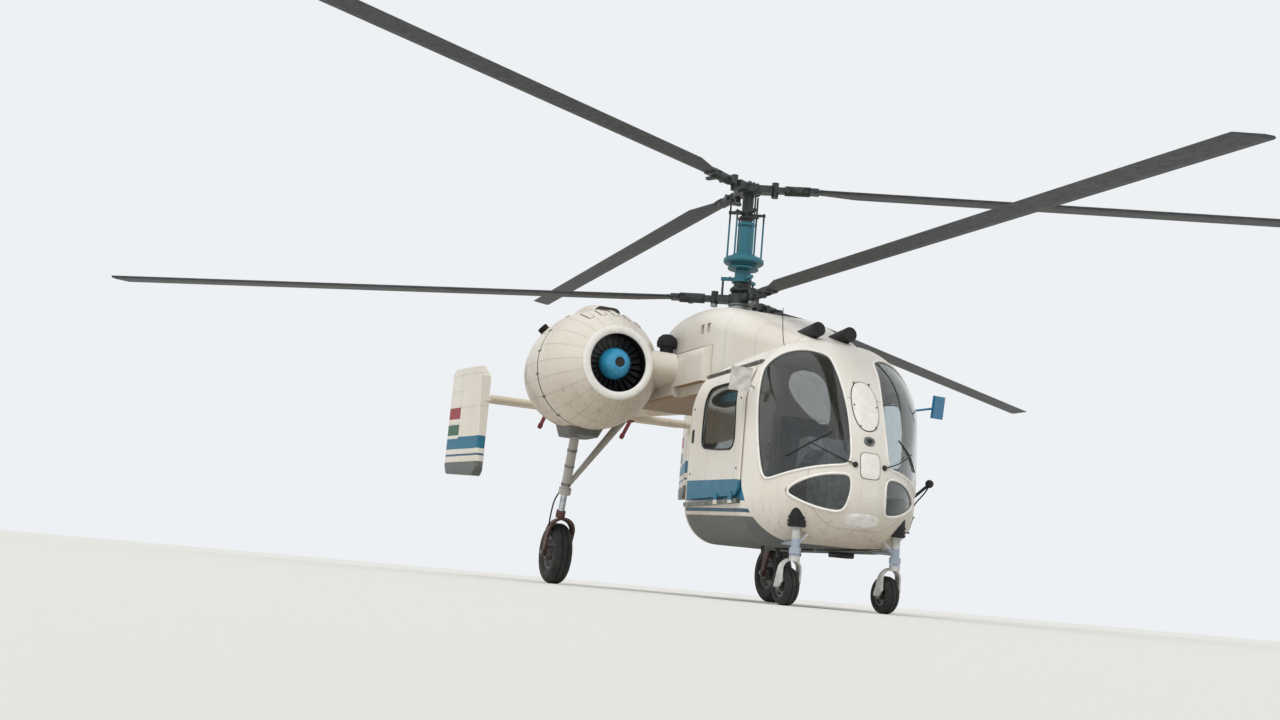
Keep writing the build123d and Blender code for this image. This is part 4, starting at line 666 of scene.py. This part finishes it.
# Aerials and lamp under the belly, whip on the roof
form = bmesh.new()
for x, y, tall in ((0.05, -1.05, 0.07), (-0.3, -1.45, 0.05), (0.32, -0.95, 0.04)):
    hit, out = seat_on(flank, (x, y, 0.0), (0, 0, 1))
    add_block(form, hit + out * tall / 2, (0.008, 0.05, tall), edge=0.003)
settle(form, "belly_aerials", "airframe", black_paint)
form = bmesh.new()
hit, out = seat_on(flank, (0.28, -1.75, 0.0), (0, 0, 1))
add_block(form, hit + out * 0.02, (0.18, 0.13, 0.05), edge=0.01)
settle(form, "belly_lamp", "airframe", black_paint)
roof = skin_of("cabin_roof", "gearbox_fairing")
hit, out = seat_on(roof, (-0.42, -1.82, 3.0), (0, 0, -1))
whip = [hit - out * 0.01, hit + out * 0.06, hit + Vector((-0.06, -0.05, 0.30))]
tube("roof_whip", whip, 0.0035, "airframe", black_paint)

# Door handles, and studs at the doors' edges
for side, sign in HANDS:
    door = skin_of("door_" + side)
    form = bmesh.new()
    skin_plate(form, door, (sign * 2.0, -0.835, 1.38), (-sign, 0, 0), (0, 0, 1), 0.055, 0.12, 0.005, 6.0)
    settle(form, "door_handle_" + side, "door_" + side, black_paint)
    form = bmesh.new()
    for y, z in ((-0.83, 1.62), (-0.83, 1.05), (-1.88, 1.62), (-1.88, 1.05)):
        hit, out = seat_on(door, (sign * 2.0, y, z), (-sign, 0, 0))
        add_stud(form, hit, out, 0.008, 0.006, 12)
    settle(form, "door_studs_" + side, "door_" + side, dull_steel)

# Intake lips, spinners, latches, louvres and domed filters of the pods
for side, sign in HANDS:
    form = bmesh.new()
    ways = [math.pi * k / 12 for k in range(25)]
    ring = [(0.307 + 0.037 * math.cos(way), 0.021 * math.sin(way)) for way in ways]
    lathe(form, ring, (sign * POD_X, -0.146, POD_Z), (0, 1, 0), 96)
    settle(form, "lip_ring_" + side, "airframe", frame_white)
    form = bmesh.new()
    dome = ((0, 0.183), (0.045, 0.183), (0.047, 0.190), (0.054, 0.192), (0.078, 0.184), (0.106, 0.16),
            (0.13, 0.122), (0.144, 0.08), (0.149, 0.045), (0.149, 0.028), (0.12, 0.026))
    lathe(form, dome, (sign * POD_X, 0, POD_Z), (0, -1, 0), 72)
    settle(form, "spinner_" + side, "fan_" + side, spinner_paint)
    pod = skin_of("nacelle_" + side)
    form = bmesh.new()
    for k in range(16):
        way = 2 * math.pi * (k + 0.5) / 16
        out = Vector((math.cos(way), 0, math.sin(way)))
        for y in (0.47, 0.53):
            hit, normal = seat_on(pod, Vector((sign * POD_X, y, POD_Z)) + out * 1.2, -out)
            add_stud(form, hit, normal, 0.009, 0.007, 12)
    settle(form, "cowl_latches_" + side, "airframe", dull_steel)
    # Raised louvres over slightly wider black plates, whose black rim is painted shade in the louvre openings
    for label, thick, wide, finish, slot_name in (("louvres_", 0.011, 0.05, cowl_enamel, "white_paint"),
                                                  ("louvre_slots_", 0.004, 0.066, black_paint, "dark_paint")):
        form = bmesh.new()
        for k in range(5):
            way = math.radians(62 + 15 * k)
            out = Vector((sign * math.cos(way), 0, math.sin(way)))
            spot = Vector((sign * POD_X, 0.16, POD_Z)) + out * 0.9
            skin_plate(form, pod, spot, -out, (0, 1, 0), wide, 0.2, thick, 5.0)
        settle(form, label + side, "airframe", finish)
    form = bmesh.new()
    dome = ((0, -0.09), (0.065, -0.09), (0.065, 0.0), (0.096, 0.012), (0.1, 0.055), (0.086, 0.1),
            (0.05, 0.13), (0, 0.14))
    lathe(form, dome, (sign * 0.645, 0.2, 2.31), (0, 0, 1), 40)
    settle(form, "air_filter_" + side, "airframe", boot_rubber)

# Main legs: hoses, clamps and axle nuts
for side, sign in HANDS:
    hose = [(1.262, 0.99, 1.36), (1.27, 1.0, 1.2), (1.265, 1.03, 1.02), (1.285, 1.06, 0.92),
            (1.33, 1.1, 0.82), (1.34, 1.14, 0.7), (1.335, 1.2, 0.52), (1.33, 1.27, 0.36)]
    hose = [(sign * x, y, z) for x, y, z in hose]
    tube("brake_hose_" + side, hose, 0.0075, "airframe", boot_rubber)
    form = bmesh.new()
    top = Vector((sign * 1.25, 0.88, 1.5))
    foot = Vector((sign * 1.245, 1.055, 0.935))
    way = (foot - top).normalized()
    for share in (0.35, 0.62, 0.93):
        lathe(form, ((0.044, -0.012), (0.05, -0.012), (0.05, 0.012), (0.044, 0.012), (0.044, -0.012)),
              top.lerp(foot, share), way, 32)
    settle(form, "leg_clamps_" + side, "airframe", dull_steel)
    form = bmesh.new()
    x, y, z = MAIN_AXLE
    for end in (1, -1):
        add_stud(form, (sign * x + end * 0.1445, y, z), (end, 0, 0), 0.019, 0.014)
    settle(form, "axle_nuts_" + side, "airframe", dull_steel)

# Wheel bolts
for label, (x, y, z), pitch, head, count in (("main_wheel_", MAIN_AXLE, 0.093, 0.008, 8),
                                             ("nose_wheel_", NOSE_AXLE, 0.049, 0.005, 6)):
    for side, sign in HANDS:
        body = label + side
        wheel = skin_of(body)
        form = bmesh.new()
        for end in (1, -1):
            for k in range(count):
                way = 2 * math.pi * k / count
                start = (sign * x + end * 0.4, y + pitch * math.cos(way), z + pitch * math.sin(way))
                hit, _ = seat_on(wheel, start, (-end, 0, 0))
                add_stud(form, hit, (end, 0, 0), head, head * 0.8)
        settle(form, body + "_bolts", body, dull_steel)

# Bolts on the mast collar and the rotor heads
collar = skin_of("mast_collar")
form = bmesh.new()
for k in range(16):
    way = 2 * math.pi * k / 16
    hit, _ = seat_on(collar, (0.165 * math.cos(way), 0.165 * math.sin(way), 3.4), (0, 0, -1))
    add_stud(form, hit, (0, 0, 1), 0.009, 0.009)
settle(form, "collar_bolts", "airframe", dull_steel)
for body, node, top, inner, first in (("rotor_upper", "upper_hub", 4.3, 0.1, -math.pi / 2),
                                      ("rotor_lower", "lower_hub", 3.3, 0.12, math.pi / 2)):
    head = skin_of(node)
    form = bmesh.new()
    for pitch, count, wide in ((inner, 12, 0.011), (0.3, 3, 0.02)):
        for k in range(count):
            way = 2 * math.pi * k / count + first
            hit, out = seat_on(head, (pitch * math.cos(way), pitch * math.sin(way), top), (0, 0, -1))
            if hit and out.z > 0.7:
                add_stud(form, hit, out, wide, 0.01)
    settle(form, node + "_bolts", body, dull_steel)


# Seats: padded cushions made by cloth under pressure, with welted seams

PAD_SMALLER = 0.02
PAD_VOXEL = 0.006
PAD_SWELL = 0.022
CLOTH_FRAMES = 14
STRAP_THICK = 0.003


def pad(name, size, rest_way):
    # A cushion that starts a little smaller than its place, swells to it, and stays flat where it rests
    form = bmesh.new()
    made = bmesh.ops.create_cube(form, size=1.0)
    bmesh.ops.scale(form, vec=Vector([s - PAD_SMALLER for s in size]), verts=made["verts"])
    bmesh.ops.bevel(form, geom=list(form.edges), offset=min(size) * 0.33, segments=4, affect="EDGES",
                    profile=0.5, material=-1)
    mesh = bpy.data.meshes.new(name)
    form.to_mesh(mesh)
    form.free()
    holder = bpy.data.objects.new(name, mesh)
    bpy.context.collection.objects.link(holder)
    remesh = holder.modifiers.new("remesh", "REMESH")
    remesh.mode = "VOXEL"
    remesh.voxel_size = PAD_VOXEL
    mesh = bpy.data.meshes.new_from_object(holder.evaluated_get(bpy.context.evaluated_depsgraph_get()))
    holder.modifiers.clear()
    holder.data = mesh
    start = [vert.co.copy() for vert in mesh.vertices]
    cloth = holder.modifiers.new("cloth", "CLOTH")
    cloth.settings.use_pressure = True
    cloth.settings.uniform_pressure_force = 4
    cloth.settings.effector_weights.gravity = 0
    cloth.settings.mass = 0.3
    for number in range(1, CLOTH_FRAMES + 1):
        bpy.context.scene.frame_set(number)
    mesh = bpy.data.meshes.new_from_object(holder.evaluated_get(bpy.context.evaluated_depsgraph_get()))
    holder.modifiers.clear()
    bpy.context.scene.frame_set(1)
    for vert, old in zip(mesh.vertices, start):
        move = vert.co - old
        if move.length > PAD_SWELL:
            vert.co = old + move * (PAD_SWELL / move.length)
    way = Vector(rest_way)
    reach = abs(way.dot(Vector(size))) / 2
    for vert in mesh.vertices:
        over = vert.co.dot(way) - reach
        if over > 0:
            vert.co -= way * over
    bpy.data.objects.remove(holder)
    return mesh


seat_pad = pad("seat_pad", (0.44, 0.45, 0.088), (0, 0, -1))
back_pad = pad("back_pad", (0.44, 0.07, 0.54), (0, 1, 0))
LEAN = Matrix.Rotation(math.radians(-10), 4, "X")
for side, sign in HANDS:
    x = sign * SEAT_X
    for label, source, spot, turn, deep, front, up in (
            ("seat", seat_pad, (x, -1.15, 1.065), Matrix(), 0.175, (0, 0, 1), (0, 1, 0)),
            ("back", back_pad, (x, -0.894, 1.397), LEAN, 0.215, (0, -1, 0), (0, 0, 1))):
        form = bmesh.new()
        form.from_mesh(source)
        place = Matrix.Translation(Vector(spot)) @ turn
        bmesh.ops.transform(form, matrix=place, verts=form.verts)
        surface = BVHTree.FromBMesh(form)
        piece = settle(form, "%s_pad_%s" % (label, side), "airframe", seat_wool, 60)
        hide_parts("seat_cushions")
        for shrink in (1.0, 0.62):
            welt = []
            for k in range(48):
                way = 2 * math.pi * k / 48
                u = math.copysign(abs(math.cos(way)) ** 0.4, math.cos(way)) * 0.168 * shrink
                v = math.copysign(abs(math.sin(way)) ** 0.4, math.sin(way)) * deep * shrink
                start = place @ (Vector((u, 0, 0)) + Vector(up) * v + Vector(front) * 0.3)
                hit, out = seat_on(surface, start, turn.to_3x3() @ -Vector(front))
                if hit:
                    welt.append(hit + out * 0.0008)
            name = "%s_welt_%s_%d" % (label, side, shrink < 1)
            tube(name, welt, 0.0032, "airframe", seat_wool, closed=True)


# Lap and shoulder straps, laid over the cushions

def strap(name, spots, wide, way):
    # Flat webbing through the spots, its width along the given way
    form = bmesh.new()
    across = Vector(way).normalized() * wide / 2
    rows = [(Vector(a) - across, Vector(a) + across) for a in spots]
    pairs = [[form.verts.new(v) for v in row] for row in rows]
    for one, two in zip(pairs, pairs[1:]):
        form.faces.new((one[0], one[1], two[1], two[0]))
    bmesh.ops.solidify(form, geom=list(form.faces), thickness=STRAP_THICK)
    return settle(form, name, "airframe", strap_webbing, 30)


pads = skin_of("seat_cushions")
for side, sign in HANDS:
    x = sign * SEAT_X
    for label, offset in (("inner", -0.085), ("outer", 0.085)):
        spots = []
        for height in (1.66, 1.6, 1.52, 1.43, 1.34, 1.25, 1.17):
            hit, out = seat_on(pads, (x + offset * (0.75 + (1.66 - height) * 0.6), -1.6, height), (0, 1, 0))
            if hit:
                spots.append(hit + out * 0.016)
        strap("shoulder_strap_%s_%s" % (label, side), spots, 0.045, (1, 0, 0))
    spots = []
    for across in (-0.215, -0.18, -0.12, -0.06, 0, 0.06, 0.12, 0.18, 0.215):
        hit, out = seat_on(pads, (x + across, -1.04, 1.6), (0, 0, -1))
        if hit:
            spots.append(hit + out * 0.016)
    strap("lap_strap_" + side, spots, 0.048, (0, 1, 0))
    form = bmesh.new()
    add_block(form, spots[len(spots) // 2] + Vector((0, 0, 0.006)), (0.075, 0.06, 0.012), edge=0.003)
    settle(form, "buckle_" + side, "airframe", dull_steel)

# Instrument dials on the console
form = bmesh.new()
console = skin_of("instrument_console")
for x, z in ((-0.2, 1.2), (-0.07, 1.2), (0.07, 1.2), (0.2, 1.2), (-0.14, 1.1), (0, 1.1), (0.14, 1.1)):
    hit, out = seat_on(console, (x, -1.2, z), (0, -1, 0))
    lathe(form, ((0, 0.002), (0.038, 0.002), (0.038, 0.009), (0.045, 0.009), (0.045, -0.003)), hit, out, 32)
settle(form, "dials", "airframe", black_paint)


# Floor, light and camera
form = bmesh.new()
bmesh.ops.create_grid(form, x_segments=1, y_segments=1, size=160)
floor_mesh = bpy.data.meshes.new("studio_floor")
form.to_mesh(floor_mesh)
form.free()
floor = bpy.data.objects.new("studio_floor", floor_mesh)
bpy.context.collection.objects.link(floor)
floor_paint, tree, _ = begin_material("floor_paint")
close_material(tree, {"Base Color": "#DCDAD4", "Roughness": 0.9})
floor.data.materials.append(floor_paint)

# Pale sky for the lens, the glass and the reflections, and a dimmer one for the light that it gives
world = bpy.data.worlds.new("studio_air")
bpy.context.scene.world = world
world.use_nodes = True
air = world.node_tree
air.nodes.clear()
ray = add_node(air, "ShaderNodeLightPath")
seen = ray.outputs["Is Camera Ray"]
for other in ("Is Transmission Ray", "Is Glossy Ray"):
    seen = add_node(air, "ShaderNodeMath", {0: seen, 1: ray.outputs[other]}, 0, operation="MAXIMUM")
glow = add_node(air, "ShaderNodeBackground", {"Color": "#F2F5FA", "Strength": 0.5}, 0)
backdrop = add_node(air, "ShaderNodeBackground", {"Color": "#EEF1F4", "Strength": 1.0}, 0)
shown = add_node(air, "ShaderNodeMixShader", {0: seen, 1: glow, 2: backdrop}, 0)
add_node(air, "ShaderNodeOutputWorld", {"Surface": shown})

# Wide soft lamps that leave no disc in the glass
for name, strength, spread, turn in (("key_light", 2.3, 42, (38, 0, -28)),
                                     ("fill_light", 0.5, 60, (62, 0, -110))):
    lamp = bpy.data.lights.new(name, "SUN")
    lamp.energy = strength
    lamp.angle = math.radians(spread)
    holder = bpy.data.objects.new(name, lamp)
    holder.rotation_euler = [math.radians(a) for a in turn]
    holder.visible_glossy = False
    bpy.context.collection.objects.link(holder)

# The photograph's view, with the eye at floor level
view = bpy.data.cameras.new("photo_view")
view.sensor_width = 36
view.lens = 39.375
view.clip_end = 600
eye = bpy.data.objects.new("photo_view", view)
eye.matrix_world = Matrix.Translation((-5.61, -12.05, 0.06))
for degrees, axis in ((-21.0, "Z"), (99.1, "X"), (5.0, "Z")):
    eye.matrix_world = eye.matrix_world @ Matrix.Rotation(math.radians(degrees), 4, axis)
bpy.context.collection.objects.link(eye)
bpy.context.scene.camera = eye
bpy.context.scene.view_settings.view_transform = "Standard"
